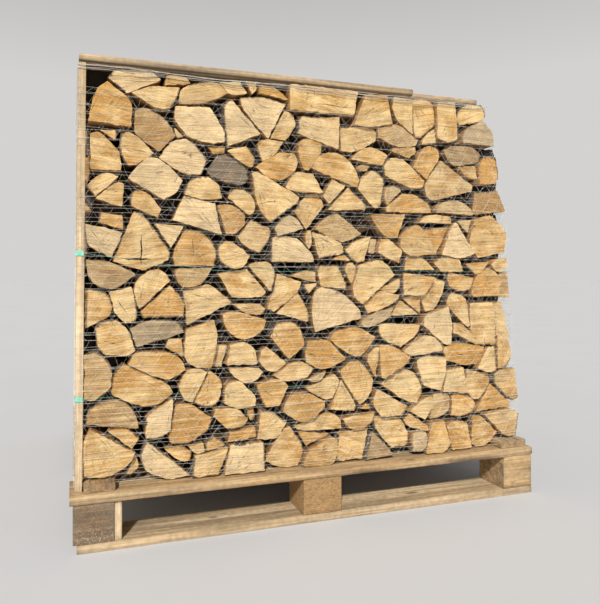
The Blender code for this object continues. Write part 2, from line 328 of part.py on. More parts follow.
    ((90.4, 81.6), (90.3, 90.6), (92.0, 91.1), (95.9, 91.1), (95.4, 87.2), (96.6, 84.8), (96.9, 81.6),
     (94.0, 80.6)),
    ((86.1, 79.4), (86.4, 80.9), (89.6, 83.7), (90.2, 83.4), (90.3, 80.0)),
    ((96.4, 86.6), (97.4, 89.4), (99.8, 90.9), (104.2, 91.2), (105.5, 88.8), (104.8, 87.3),
     (100.4, 85.6), (97.4, 85.4)),
    ((98.2, 80.8), (98.8, 83.6), (100.8, 85.2), (103.4, 86.6), (105.2, 86.6), (108.0, 83.6),
     (108.6, 81.9), (108.2, 80.6), (102.0, 80.3)),
    ((93.2, 78.6), (96.0, 79.8), (101.6, 79.8), (104.4, 78.0), (104.0, 76.2), (100.6, 75.0),
     (96.2, 74.7), (93.8, 76.8)),
    ((103.5, 70.2), (103.4, 75.2), (104.8, 77.2), (108.3, 77.3), (108.5, 73.6), (109.0, 71.6),
     (107.4, 70.3)),
    ((96.4, 74.1), (101.6, 74.7), (102.3, 71.2), (98.0, 71.7), (97.0, 72.6)),
    ((87.4, 67.0), (87.4, 69.6), (91.8, 75.7), (93.4, 75.8), (97.4, 71.6), (101.9, 70.4), (101.4, 68.2),
     (93.0, 65.8), (89.2, 65.4)),
    ((83.3, 73.4), (84.8, 76.8), (86.6, 78.6), (88.6, 79.2), (90.6, 78.4), (91.2, 76.8), (87.2, 70.6),
     (84.4, 71.7)),
    ((90.0, 62.2), (90.2, 63.8), (93.0, 65.0), (97.6, 65.0), (100.8, 63.0), (101.2, 61.8)),
    ((101.6, 62.0), (102.4, 67.6), (109.7, 68.6), (110.6, 67.4), (112.2, 63.2), (110.8, 62.7)),
)

# Ends that sit deeper in the stack than their neighbours, in shade
SUNK_ENDS = (
    ((13.9, 6.2), (14.4, 3.4), (12.8, 1.9), (11.9, 2.2), (12.6, 4.4)),
    ((31.2, 24.7), (32.0, 29.9), (34.8, 29.6), (34.4, 27.0), (33.2, 24.6)),
    ((71.3, 51.6), (71.6, 54.8), (73.7, 54.9), (72.9, 51.4)),
    ((50.9, 45.7), (54.6, 47.0), (57.4, 46.6), (57.2, 44.2), (53.6, 44.5)),
    ((22.5, 79.4), (23.0, 77.3), (24.4, 77.1), (24.7, 77.8)),
    ((104.8, 78.9), (106.4, 79.8), (106.9, 78.6), (105.0, 78.0)),
    ((3.2, 63.6), (4.4, 62.4), (4.3, 60.4), (3.3, 60.8)),
    ((39.4, 14.6), (41.2, 14.6), (41.6, 12.2), (40.6, 11.6)),
)

part_collection = bpy.data.collections.new("pallet_of_firewood")
cutter_collection = bpy.data.collections.new("cutters")
for new_collection in (part_collection, cutter_collection):
    bpy.context.scene.collection.children.link(new_collection)


# Materials
def wood(name, color, roughness=0.85):
    """A plain wood or fibre surface in one colour."""
    made = bpy.data.materials.new(name)
    made.use_nodes = True
    shader = made.node_tree.nodes["Principled BSDF"]
    shader.inputs["Base Color"].default_value = (*color, 1.0)
    shader.inputs["Roughness"].default_value = roughness
    return made


def pallet_wood(node_name):
    return wood(node_name, (0.46, 0.33, 0.20))


def block_wood(node_name):
    return wood(node_name, (0.42, 0.29, 0.17))


def log_wood(node_name):
    return wood(node_name, (0.62, 0.43, 0.22))


def row_wood(node_name):
    return wood(node_name, (0.54, 0.36, 0.18))


def net_yarn(node_name):
    return wood(node_name, (0.80, 0.80, 0.77), 0.7)


# Basic shapes
def keep(node_name, mesh, material):
    """Put a mesh in the part as one named solid with its own material."""
    mesh.name = node_name
    mesh.materials.clear()
    mesh.materials.append(material)
    solid = bpy.data.objects.new(node_name, mesh)
    part_collection.objects.link(solid)
    return solid


def mesh_of(build):
    """Make a mesh from a function that fills a bmesh."""
    work = bmesh.new()
    build(work)
    bmesh.ops.recalc_face_normals(work, faces=work.faces)
    mesh = bpy.data.meshes.new("shape")
    work.to_mesh(mesh)
    work.free()
    return mesh


def add_box(work, low, high):
    """Add a box between two corners."""
    size = Vector(high) - Vector(low)
    centre = (Vector(high) + Vector(low)) / 2
    place = Matrix.Translation(centre) @ Matrix.Diagonal((*size, 1.0))
    bmesh.ops.create_cube(work, size=1.0, matrix=place)


def board(node_name, low, high, material, lean=0.0):
    """A sawn board; its top can lean sideways."""
    solid = keep(node_name, mesh_of(lambda work: add_box(work, low, high)), material)
    for vertex in solid.data.vertices:
        if vertex.co.z > (low[2] + high[2]) / 2:
            vertex.co.x += lean


def prism(outline, front, back, name):
    """Extrude an outline given in centimetres along Y, as a closed mesh."""
    curve = bpy.data.curves.new(name, "CURVE")
    curve.dimensions = "2D"
    curve.fill_mode = "BOTH"
    curve.extrude = (back - front) / 2
    spline = curve.splines.new("POLY")
    spline.points.add(len(outline) - 1)
    for point, (x, z) in zip(spline.points, outline):
        point.co = (x / 100 - WIDTH / 2, z / 100 + DECK_TOP, 0.0, 1.0)
    spline.use_cyclic_u = True
    holder = bpy.data.objects.new(name, curve)
    cutter_collection.objects.link(holder)
    mesh = bpy.data.meshes.new_from_object(holder)
    stand_up = Matrix.Translation((0.0, (front + back) / 2, 0.0)) @ Matrix.Rotation(math.pi / 2, 4, "X")
    mesh.transform(stand_up)
    bpy.data.objects.remove(holder, do_unlink=True)
    work = bmesh.new()
    work.from_mesh(mesh)
    bmesh.ops.remove_doubles(work, verts=work.verts, dist=1e-6)
    bmesh.ops.recalc_face_normals(work, faces=work.faces)
    work.to_mesh(mesh)
    work.free()
    bpy.data.curves.remove(curve)
    return mesh


def join_meshes(meshes, name):
    """Gather several closed meshes in one hidden cutter object."""
    work = bmesh.new()
    for mesh in meshes:
        work.from_mesh(mesh)
        bpy.data.meshes.remove(mesh)
    joined = bpy.data.meshes.new(name)
    work.to_mesh(joined)
    work.free()
    holder = bpy.data.objects.new(name, joined)
    cutter_collection.objects.link(holder)
    holder.hide_render = True
    holder.display_type = "WIRE"
    return holder


def combine(solid, cutter, operation, self_crossing=False):
    """Add or cut with an exact Boolean."""
    step = solid.modifiers.new(operation.lower(), "BOOLEAN")
    step.operation = operation
    step.solver = "EXACT"
    step.use_self = self_crossing
    step.object = cutter


# Outlines in centimetres
def reach_at(z):
    """How far right the stack reaches at a height above the deck."""
    for (low_z, low_x), (high_z, high_x) in zip(RIGHT_REACH, RIGHT_REACH[1:]):
        if z <= high_z:
            return low_x + (high_x - low_x) * (z - low_z) / (high_z - low_z)
    return RIGHT_REACH[-1][1]


def set_back(point):
    """Take a measured point to the plane that the log ends lie on."""
    x, z = point
    return x * SPREAD + SPREAD_SHIFT_CM[0], z * SPREAD + SPREAD_SHIFT_CM[1]


def as_seen(point):
    return point


def mirrored(point):
    """The same place in the stack, counted from the other side."""
    x, z = point
    share = (x - STACK_LEFT_CM) / (reach_at(z) - STACK_LEFT_CM)
    return STACK_LEFT_CM + (1 - share) * (reach_at(z) - STACK_LEFT_CM), z


def upside_down(point):
    """The place in the stack when it is turned over, with its right-hand side kept."""
    x, z = point
    flipped = STACK_TOP_CM - z + 0.3
    share = (x - STACK_LEFT_CM) / (reach_at(z) - STACK_LEFT_CM)
    return STACK_LEFT_CM + share * (reach_at(flipped) - STACK_LEFT_CM), flipped


def turn(origin, a, b):
    """Above zero where going from a to b turns anticlockwise about the origin point."""
    return (a[0] - origin[0]) * (b[1] - origin[1]) - (a[1] - origin[1]) * (b[0] - origin[0])


def hull(points):
    """The convex outline around some points, anticlockwise."""
    ordered = sorted(set(points))
    halves = []
    for run in (ordered, ordered[::-1]):
        half = []
        for point in run:
            while len(half) > 1 and turn(half[-2], half[-1], point) <= 0:
                half.pop()
            half.append(point)
        halves.append(half[:-1])
    return halves[0] + halves[1]


def edge_normals(outline):
    """The directions that a convex outline's sides face."""
    for (ax, az), (bx, bz) in zip(outline, outline[1:] + outline[:1]):
        length = math.hypot(bx - ax, bz - az)
        if length > 1e-6:
            yield (bz - az) / length, (ax - bx) / length


def reach_along(outline, normal):
    return max(x * normal[0] + z * normal[1] for x, z in outline)


def clipped(outline, normal, limit):
    """Keep the part of a convex outline that lies below a limit along a direction."""
    kept = []
    for a, b in zip(outline, outline[1:] + outline[:1]):
        height_a = a[0] * normal[0] + a[1] * normal[1] - limit
        height_b = b[0] * normal[0] + b[1] * normal[1] - limit
        if height_a <= 0:
            kept.append(a)
        if height_a * height_b < 0:
            share = height_a / (height_a - height_b)
            kept.append((a[0] + (b[0] - a[0]) * share, a[1] + (b[1] - a[1]) * share))
    return kept


def best_split(first, second):
    """The direction from the first outline to the second along which they are furthest apart."""
    best = None
    directions = list(edge_normals(first)) + [(-x, -z) for x, z in edge_normals(second)]
    for normal in directions:
        top_of_first = reach_along(first, normal)
        foot_of_second = -reach_along(second, (-normal[0], -normal[1]))
        apart = foot_of_second - top_of_first
        if best is None or apart > best[0]:
            best = (apart, normal, top_of_first, foot_of_second)
    return best


def spaced(outlines, gap):
    """Trim touching convex outlines back from each other until a gap is left between them."""
    trimmed = list(outlines)
    for i in range(len(trimmed)):
        for j in range(i + 1, len(trimmed)):
            apart, normal, top, foot = best_split(trimmed[i], trimmed[j])
            if apart >= gap:
                continue
            middle = (top + foot) / 2
            trimmed[i] = clipped(trimmed[i], normal, middle - gap / 2)
            backwards = (-normal[0], -normal[1])
            trimmed[j] = clipped(trimmed[j], backwards, -(middle + gap / 2))
    return trimmed


def thinned(outline, tolerance):
    """Drop corners that stand out less than a tolerance, which only makes the outline smaller."""
    kept = list(outline)
    while len(kept) > 3:
        heights = []
        for index, corner in enumerate(kept):
            before = kept[index - 1]
            after = kept[(index + 1) % len(kept)]
            base = math.hypot(after[0] - before[0], after[1] - before[1])
            heights.append(abs(turn(before, corner, after)) / max(base, 1e-6))
        lowest = min(heights)
        if lowest > tolerance:
            break
        kept.pop(heights.index(lowest))
    return kept


def area_of(outline):
    return abs(sum(a[0] * b[1] - b[0] * a[1] for a, b in zip(outline, outline[1:] + outline[:1]))) / 2


def centre_of(outline):
    return sum(x for x, _ in outline) / len(outline), sum(z for _, z in outline) / len(outline)


def grown(outline, margin):
    """Move every side of a convex outline outwards."""
    wider = []
    sides = list(zip(outline, outline[1:] + outline[:1]))
    for (before, here), (_, after) in zip(sides[-1:] + sides[:-1], sides):
        lines = []
        for a, b in ((before, here), (here, after)):
            length = math.hypot(b[0] - a[0], b[1] - a[1])
            normal = ((b[1] - a[1]) / length, (a[0] - b[0]) / length)
            lines.append((normal, a[0] * normal[0] + a[1] * normal[1] + margin))
        (first, one), (second, two) = lines
        scale = first[0] * second[1] - first[1] * second[0]
        x = (one * second[1] - two * first[1]) / scale
        z = (two * first[0] - one * second[0]) / scale
        wider.append((x, z))
    return wider


def inside(point, outline):
    """Whether a point is inside a simple outline."""
    x, z = point
    crossings = 0
    for (ax, az), (bx, bz) in zip(outline, outline[1:] + outline[:1]):
        if (az > z) != (bz > z) and x < ax + (bx - ax) * (z - az) / (bz - az):
            crossings += 1
    return crossings % 2 == 1


def in_front_view(x_metres):
    """Centimetres from the left end of the lead board."""
    return (x_metres + WIDTH / 2) * 100


def slab_outline():
    """The slab that ties one row of logs together, a few centimetres inside the row's outline."""
    left = STACK_LEFT_CM + 1.3
    rail_edge = in_front_view(RAIL_LEFT[1]) + 0.8
    right_rail = in_front_view(RAIL_RIGHT[0]) - 0.8
    right = [(reach_at(z) - 3.3, z) for z in (3.43, 58.0, 77.3, 91.97)]
    lower = [(left, 3.07), (rail_edge, 3.07), (rail_edge, 1.07), (right_rail, 1.07), (right_rail, 3.43)]
    return lower + right + [(9.3, 91.97), (left, 85.4)]


def fixed_neighbours():
    """Outlines the logs must keep clear of: the rails' ends, as seen from the front."""
    rail_top = RAIL_THICKNESS * 100 + 0.02
    rails = []
    for low, high in (RAIL_LEFT, RAIL_RIGHT):
        low_x, high_x = in_front_view(low) - 0.1, in_front_view(high) + 0.1
        rails.append([(low_x, -0.5), (high_x, -0.5), (high_x, rail_top), (low_x, rail_top)])
    return rails


def row_outlines(place, tolerance, smallest):
    """The log ends of one row as spaced convex outlines, and which of them are sunk."""
    outlines = []
    post_face = in_front_view(POST_FOOT_X + POST_THICKNESS) + 0.2
    for corners in LOG_ENDS + SUNK_ENDS:
        placed = hull([place(set_back(corner)) for corner in corners])
        placed = clipped(placed, (0.0, 1.0), STACK_TOP_CM)
        placed = clipped(placed, (0.0, -1.0), -0.12)
        placed = clipped(placed, (-1.0, POST_SLOPE), -post_face)
        for rail in fixed_neighbours():
            apart, normal, _, foot = best_split(placed, rail)
            if apart < GAP_CM / 2:
                placed = clipped(placed, normal, foot - GAP_CM / 2)
        outlines.append(placed)
    trimmed = [thinned(outline, tolerance) for outline in spaced(outlines, GAP_CM)]
    sunk = [index >= len(LOG_ENDS) for index in range(len(trimmed))]
    slab = slab_outline()
    found = []
    for outline, deep in zip(trimmed, sunk):
        if len(outline) > 2 and area_of(outline) > smallest and inside(centre_of(outline), slab):
            found.append((outline, deep))
    return found


def biggest_apart(outlines, count):
    """Choose the biggest logs that have room for a firm wall between them."""
    chosen = []
    slab = slab_outline()
    order = sorted(range(len(outlines)), key=lambda index: -area_of(outlines[index][0]))
    for index in order:
        outline, sunk = outlines[index]
        clear = all(best_split(outline, outlines[other][0])[0] > 2.2 for other in chosen)
        walled = all(inside(corner, slab) for corner in grown(outline, 1.2))
        if clear and walled and not sunk and len(chosen) < count:
            chosen.append(index)
    return chosen


def log_row(row_name, front_y, place, tolerance, smallest, separate, ends, seed):
    """One row of the stack: a solid with a raised end for each log, and some logs on their own."""
    dice = random.Random(seed)
    outlines = row_outlines(place, tolerance, smallest)
    alone = biggest_apart(outlines, separate)
    slab = slab_outline()
    back_y = front_y + LOG_LENGTH
    slab_front = front_y + SLAB_SET_BACK
    slab_back = back_y - SLAB_SET_BACK
    if ends == "front":
        slab_back = back_y - 0.002
    if ends == "back":
        slab_front = front_y + 0.002
    pieces = []
    pockets = []
    for index, (outline, sunk) in enumerate(outlines):
        front_end = front_y + (SUNK_END if sunk else dice.uniform(0.0, DEEPEST_END))
        back_end = back_y - dice.uniform(0.0, DEEPEST_END)
        if index in alone:
            node = f"log_{row_name}_{alone.index(index) + 1:02d}"
            keep(node, prism(outline, front_end, back_end, node), log_wood(node))
            pocket = grown(outline, POCKET_CM)
            pockets.append(prism(pocket, slab_front - 0.01, slab_back + 0.01, "pocket"))
            continue
        rim = any(corner[1] > slab[0][1] and not inside(corner, slab) for corner in outline)
        if rim:
            spans = [(front_end, back_end)]
        elif ends == "front":
            spans = [(front_end, slab_front + 0.012)]
        elif ends == "back":
            spans = [(slab_back - 0.012, back_end)]
        else:
            spans = []
        for start, stop in spans:
            pieces.append(prism(outline, start, stop, "log"))
    node = f"logs_{row_name}_row"
    row = keep(node, prism(slab, slab_front, slab_back, "slab"), row_wood(node))
    combine(row, join_meshes(pieces, f"{row_name} log ends"), "UNION")
    if pockets:
        combine(row, join_meshes(pockets, f"{row_name} pockets"), "DIFFERENCE")


# The pallet
def make_bottom_boards():
    for row, centre in ROW_CENTRES.items():
        low = (BOTTOM_BOARD_LEFT, centre - BOTTOM_BOARD_WIDTH / 2, 0.0)
        high = (WIDTH / 2 - 0.0005, centre + BOTTOM_BOARD_WIDTH / 2, BOTTOM_BOARD_THICKNESS - FIT)
        board(f"bottom_board_{row}", low, high, pallet_wood(f"bottom_board_{row}"))


def make_blocks():
    for row, centre in ROW_CENTRES.items():
        for column, (left, right) in BLOCK_COLUMNS.items():
            low = (left, centre - BLOCK_DEPTH / 2, BOTTOM_BOARD_THICKNESS)
            high = (right, centre + BLOCK_DEPTH / 2, BOTTOM_BOARD_THICKNESS + BLOCK_HEIGHT - FIT)
            board(f"block_{row}_{column}", low, high, block_wood(f"block_{row}_{column}"))


def make_side_strip():
    left = BLOCK_COLUMNS["left"][1] + FIT
    centre = ROW_CENTRES["front"]
    low = (left, centre - BLOCK_DEPTH / 2 + 0.004, BOTTOM_BOARD_THICKNESS)
    high = (left + STRIP_THICKNESS, centre + BLOCK_DEPTH / 2, BOTTOM_BOARD_THICKNESS + BLOCK_HEIGHT - FIT)
    board("side_strip", low, high, pallet_wood("side_strip"))


def make_deck():
    bottom = BOTTOM_BOARD_THICKNESS + BLOCK_HEIGHT
    lead_centre = DEPTH / 2 - LEAD_BOARD_WIDTH / 2
    boards = {
        "lead_board_front": (-lead_centre, LEAD_BOARD_WIDTH),
        "deck_board_front": (FILL_BOARD_CENTRES["front"], FILL_BOARD_WIDTH),
        "deck_board_middle": (0.0, LEAD_BOARD_WIDTH),
        "deck_board_back": (FILL_BOARD_CENTRES["back"], FILL_BOARD_WIDTH),
        "lead_board_back": (lead_centre, LEAD_BOARD_WIDTH),
    }
    for name, (centre, width) in boards.items():
        low = (-WIDTH / 2, centre - width / 2, bottom)
        high = (WIDTH / 2, centre + width / 2, DECK_TOP - FIT)
        board(name, low, high, pallet_wood(name))


def make_rails():
    for name, (left, right) in {"rail_left": RAIL_LEFT, "rail_right": RAIL_RIGHT}.items():
        low = (left, -RAIL_DEPTH / 2, DECK_TOP)
        high = (right, RAIL_DEPTH / 2, DECK_TOP + RAIL_THICKNESS)
        board(name, low, high, pallet_wood(name))


def make_posts():
    """Thin boards standing on the deck; they lean in a little towards the stack."""
    top = PLANK_UNDERSIDE - FIT
    for name, start in {"post_front": STACK_FRONT, "post_back": -STACK_FRONT - POST_WIDTH}.items():
        low = (POST_FOOT_X, start, DECK_TOP)
        high = (POST_FOOT_X + POST_THICKNESS, start + POST_WIDTH, top)
        board(name, low, high, pallet_wood(name), lean=POST_LEAN)


def make_top_planks():
    """Loose planks lying across the top of the stack, left to right."""
    front = STACK_FRONT - 0.004
    spans = {
        "plank_front_left": (-0.580, 0.243, front),
        "plank_front_right": (0.245, 0.460, front + 0.028),
        "plank_middle": (-0.570, 0.440, -PLANK_WIDTH / 2),
        "plank_back": (-0.578, 0.452, -front - PLANK_WIDTH),
    }
    for name, (left, right, start) in spans.items():
        low = (left, start, PLANK_UNDERSIDE)
        high = (right, start + PLANK_WIDTH, PLANK_UNDERSIDE + PLANK_THICKNESS)
        board(name, low, high, pallet_wood(name))


# The net
def net_corners(z_cm):
    """Inner left, right and front faces of the net at one height."""
    left = POST_FOOT_X - NET_CLEARANCE + POST_SLOPE * z_cm / 100
    right = reach_at(z_cm) / 100 - WIDTH / 2 + 0.0025
    return left, right, STACK_FRONT - NET_CLEARANCE


def ring_mesh(z_cm):
    """One ring of the net round the whole stack, as a flat loop with a hole."""
    left, right, front = net_corners(z_cm)
    curve = bpy.data.curves.new("ring", "CURVE")
    curve.dimensions = "2D"
    curve.fill_mode = "BOTH"
    curve.extrude = RING_HEIGHT / 2
    for out in (RING_THICKNESS, 0.0):
        loop = curve.splines.new("POLY")
        loop.points.add(3)
        corners = ((left - out, front - out), (right + out, front - out), (right + out, -front + out),
                   (left - out, -front + out))
        for point, (x, y) in zip(loop.points, corners):
            point.co = (x, y, 0.0, 1.0)
        loop.use_cyclic_u = True
    holder = bpy.data.objects.new("ring", curve)
    cutter_collection.objects.link(holder)
    mesh = bpy.data.meshes.new_from_object(holder)
    mesh.transform(Matrix.Translation((0.0, 0.0, DECK_TOP + z_cm / 100)))
    bpy.data.objects.remove(holder, do_unlink=True)
    bpy.data.curves.remove(curve)
    work = bmesh.new()
    work.from_mesh(mesh)
    bmesh.ops.remove_doubles(work, verts=work.verts, dist=1e-6)
    bmesh.ops.recalc_face_normals(work, faces=work.faces)
    work.to_mesh(mesh)
    work.free()
    return mesh


def link_mesh(start, stop, outward):
    """A flat strand between two points on neighbouring rings."""
    start, stop, outward = Vector(start), Vector(stop), Vector(outward)
    along = (stop - start).normalized()
    across = along.cross(outward).normalized()
    face = across.cross(along).normalized()
    centre = (start + stop) / 2 + outward * RING_THICKNESS / 2
    axes = Matrix((along, across, face)).transposed().to_4x4()
    size = Matrix.Diagonal(((stop - start).length, LINK_WIDTH, LINK_THICKNESS, 1.0))
    place = Matrix.Translation(centre) @ axes @ size
    return mesh_of(lambda work: bmesh.ops.create_cube(work, size=1.0, matrix=place))


def face_links(low_cm, high_cm, face, count):
    """Zigzag strands on one face of the net between two rings."""
    low_left, low_right, front = net_corners(low_cm)
    high_left, high_right, _ = net_corners(high_cm)
    low_z, high_z = DECK_TOP + low_cm / 100, DECK_TOP + high_cm / 100
    links = []
    for index in range(count):
        share_low, share_high = (index + 0.12) / count, (index + 0.88) / count
        if index % 2:
            share_low, share_high = share_high, share_low
        if face in ("front", "back"):
            side = -1.0 if face == "front" else 1.0
            start = (low_left + (low_right - low_left) * share_low, -side * front, low_z)
            stop = (high_left + (high_right - high_left) * share_high, -side * front, high_z)
            outward = (0.0, side, 0.0)
        else:
            side = -1.0 if face == "left" else 1.0
            low_x, high_x = (low_left, high_left) if face == "left" else (low_right, high_right)
            start = (low_x, front * (1 - 2 * share_low), low_z)
            stop = (high_x, front * (1 - 2 * share_high), high_z)
            outward = (side, 0.0, 0.0)
        links.append(link_mesh(start, stop, outward))
    return links


def make_net():
    """A wide-meshed net: level rings joined by slanting strands on all four faces."""
    rings = [ring_mesh(z) for z in RING_HEIGHTS_CM]
    links = []
    for low, high in zip(RING_HEIGHTS_CM, RING_HEIGHTS_CM[1:]):
        for face, count in (("front", 2), ("back", 1), ("left", 1), ("right", 1)):
            links += face_links(low, high, face, count)
    net = keep("net", rings[0], net_yarn("net"))
    combine(net, join_meshes(rings[1:] + links, "net strands"), "UNION", self_crossing=True)


make_bottom_boards()
make_blocks()
make_side_strip()
make_deck()
make_rails()
make_posts()
make_top_planks()
log_row("front", STACK_FRONT, as_seen, 0.62, 1.2, 16, "front", 11)
log_row("middle", STACK_FRONT + ROW_PITCH, mirrored, 1.50, 22.0, 0, "none", 12)
log_row("back", STACK_FRONT + 2 * ROW_PITCH, upside_down, 1.50, 15.0, 10, "back", 13)
make_net()
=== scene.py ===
# %% [markdown]
# # A pallet of firewood
# This lesson dresses a plain CAD model of a pallet stacked with split logs until it looks like the
# real thing. The CAD model stays where it is, and each cell adds one kind of piece over it: the
# view and the light first, then the logs, the boards and blocks, and last the net.

# %% Load the CAD model
import math
import random

import bpy
import numpy as np
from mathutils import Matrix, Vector, noise
from mathutils.geometry import delaunay_2d_cdt


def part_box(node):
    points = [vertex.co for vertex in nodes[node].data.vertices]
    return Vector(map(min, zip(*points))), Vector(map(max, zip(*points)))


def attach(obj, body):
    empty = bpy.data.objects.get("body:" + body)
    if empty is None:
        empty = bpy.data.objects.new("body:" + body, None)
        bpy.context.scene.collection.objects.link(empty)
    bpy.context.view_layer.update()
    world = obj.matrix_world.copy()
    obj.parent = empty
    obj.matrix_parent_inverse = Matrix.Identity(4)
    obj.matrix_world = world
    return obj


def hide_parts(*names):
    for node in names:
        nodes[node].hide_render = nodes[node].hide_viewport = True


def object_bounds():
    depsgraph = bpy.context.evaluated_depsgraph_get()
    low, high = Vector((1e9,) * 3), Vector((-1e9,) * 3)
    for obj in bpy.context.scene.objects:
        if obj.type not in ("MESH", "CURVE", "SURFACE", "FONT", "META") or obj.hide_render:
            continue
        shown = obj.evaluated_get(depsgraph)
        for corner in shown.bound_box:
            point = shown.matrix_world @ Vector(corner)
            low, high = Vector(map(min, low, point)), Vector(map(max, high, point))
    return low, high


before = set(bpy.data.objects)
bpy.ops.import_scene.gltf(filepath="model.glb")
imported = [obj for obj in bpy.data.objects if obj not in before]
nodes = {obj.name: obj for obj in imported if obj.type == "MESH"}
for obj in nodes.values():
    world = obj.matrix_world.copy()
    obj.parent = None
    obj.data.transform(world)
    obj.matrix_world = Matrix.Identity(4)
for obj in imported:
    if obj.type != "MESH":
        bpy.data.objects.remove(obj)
cad_low, cad_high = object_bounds()
print("CAD box in metres:", [round(value, 3) for value in cad_high - cad_low])

# %% [markdown]
# ## The view
# The camera could be placed by eye, but then every log would be a little off. Here it stands where
# the lines of the pallet say that the photographer stood: in line with the stack's left side, which
# is why that side can't be seen, a good metre in front of it, looking level and a little to the
# right. A small shift of the lens keeps the upright lines upright, as a view camera does.

# %% Place the camera
DECK_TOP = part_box("lead_board_front")[1].z
PALLET_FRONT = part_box("lead_board_front")[0].y
EYE = Vector((-0.590, PALLET_FRONT - 1.2918, DECK_TOP + 0.4717))
EYE_TURN = math.radians(17.55)
LENS_MM = 34.83
SHIFT_RIGHT = 0.068
SHIFT_UP = -0.0464

camera = bpy.data.objects.new("camera", bpy.data.cameras.new("camera"))
bpy.context.scene.collection.objects.link(camera)
camera.location = EYE
camera.rotation_euler = (math.pi / 2, 0.0, -EYE_TURN)
camera.data.lens = LENS_MM
camera.data.shift_x = SHIFT_RIGHT
camera.data.shift_y = SHIFT_UP
bpy.context.scene.camera = camera
print("camera at", [round(value, 3) for value in EYE])

# %% [markdown]
# ## Light and floor
# The stack stood in the open, lit from the front, from the left and from above. One sun lamp with a
# wide angle gives the same direction with soft edges. The surroundings are pale grey near the
# horizon and darker overhead, which lights the log ends but leaves the gaps between them dark. The
# standard view keeps the colours of the wood as they are mixed.

# %% Light the scene
SUN_FROM = Vector((-0.50, -1.0, 0.90))
SUN_STRENGTH = 4.0
SUN_WIDTH = math.radians(4)
SUN_COLOR = (1.0, 0.975, 0.93)
SKY_COLOR = (1.0, 0.99, 0.975, 1.0)
SKY_FADE = {"From Min": 0.30, "From Max": 0.75, "To Min": 0.65, "To Max": 0.22}


def sun_light():
    """A soft sun from the front left, above the stack."""
    lamp = bpy.data.lights.new("sun", "SUN")
    lamp.energy = SUN_STRENGTH
    lamp.angle = SUN_WIDTH
    lamp.color = SUN_COLOR
    holder = bpy.data.objects.new("sun", lamp)
    holder.rotation_euler = SUN_FROM.to_track_quat("Z", "Y").to_euler()
    bpy.context.scene.collection.objects.link(holder)


def studio_sky():
    """Pale surroundings that get darker from the horizon to overhead."""
    world = bpy.data.worlds.new("studio sky")
    world.use_nodes = True
    tree = world.node_tree
    direction = tree.nodes.new("ShaderNodeTexCoord")
    parts = tree.nodes.new("ShaderNodeSeparateXYZ")
    fade = tree.nodes.new("ShaderNodeMapRange")
    background = tree.nodes["Background"]
    background.inputs["Color"].default_value = SKY_COLOR
    for socket, value in SKY_FADE.items():
        fade.inputs[socket].default_value = value
    tree.links.new(direction.outputs["Generated"], parts.inputs[0])
    tree.links.new(parts.outputs["Z"], fade.inputs["Value"])
    tree.links.new(fade.outputs[0], background.inputs["Strength"])
    bpy.context.scene.world = world


sun_light()
studio_sky()
bpy.context.scene.view_settings.view_transform = "Standard"
print("sun strength", SUN_STRENGTH, "and sky strength", SKY_FADE["To Min"], "near the horizon")

# %% [markdown]
# ## Mixing materials
# Every surface here is mixed from a few kinds of node: noise that is stretched along the grain,
# a colour that is read from a ramp, and facts about the wood that are stored on the mesh itself.
# A small helper class gives those nodes short names, so that each material reads like a recipe.


# %% A helper for material recipes
def paint(red, green, blue):
    """A colour picked in steps of 0 to 255, as the linear values that shaders use."""
    linear = []
    for step in (red, green, blue):
        share = step / 255
        linear.append(share / 12.92 if share <= 0.04045 else ((share + 0.055) / 1.055) ** 2.4)
    return (*linear, 1.0)


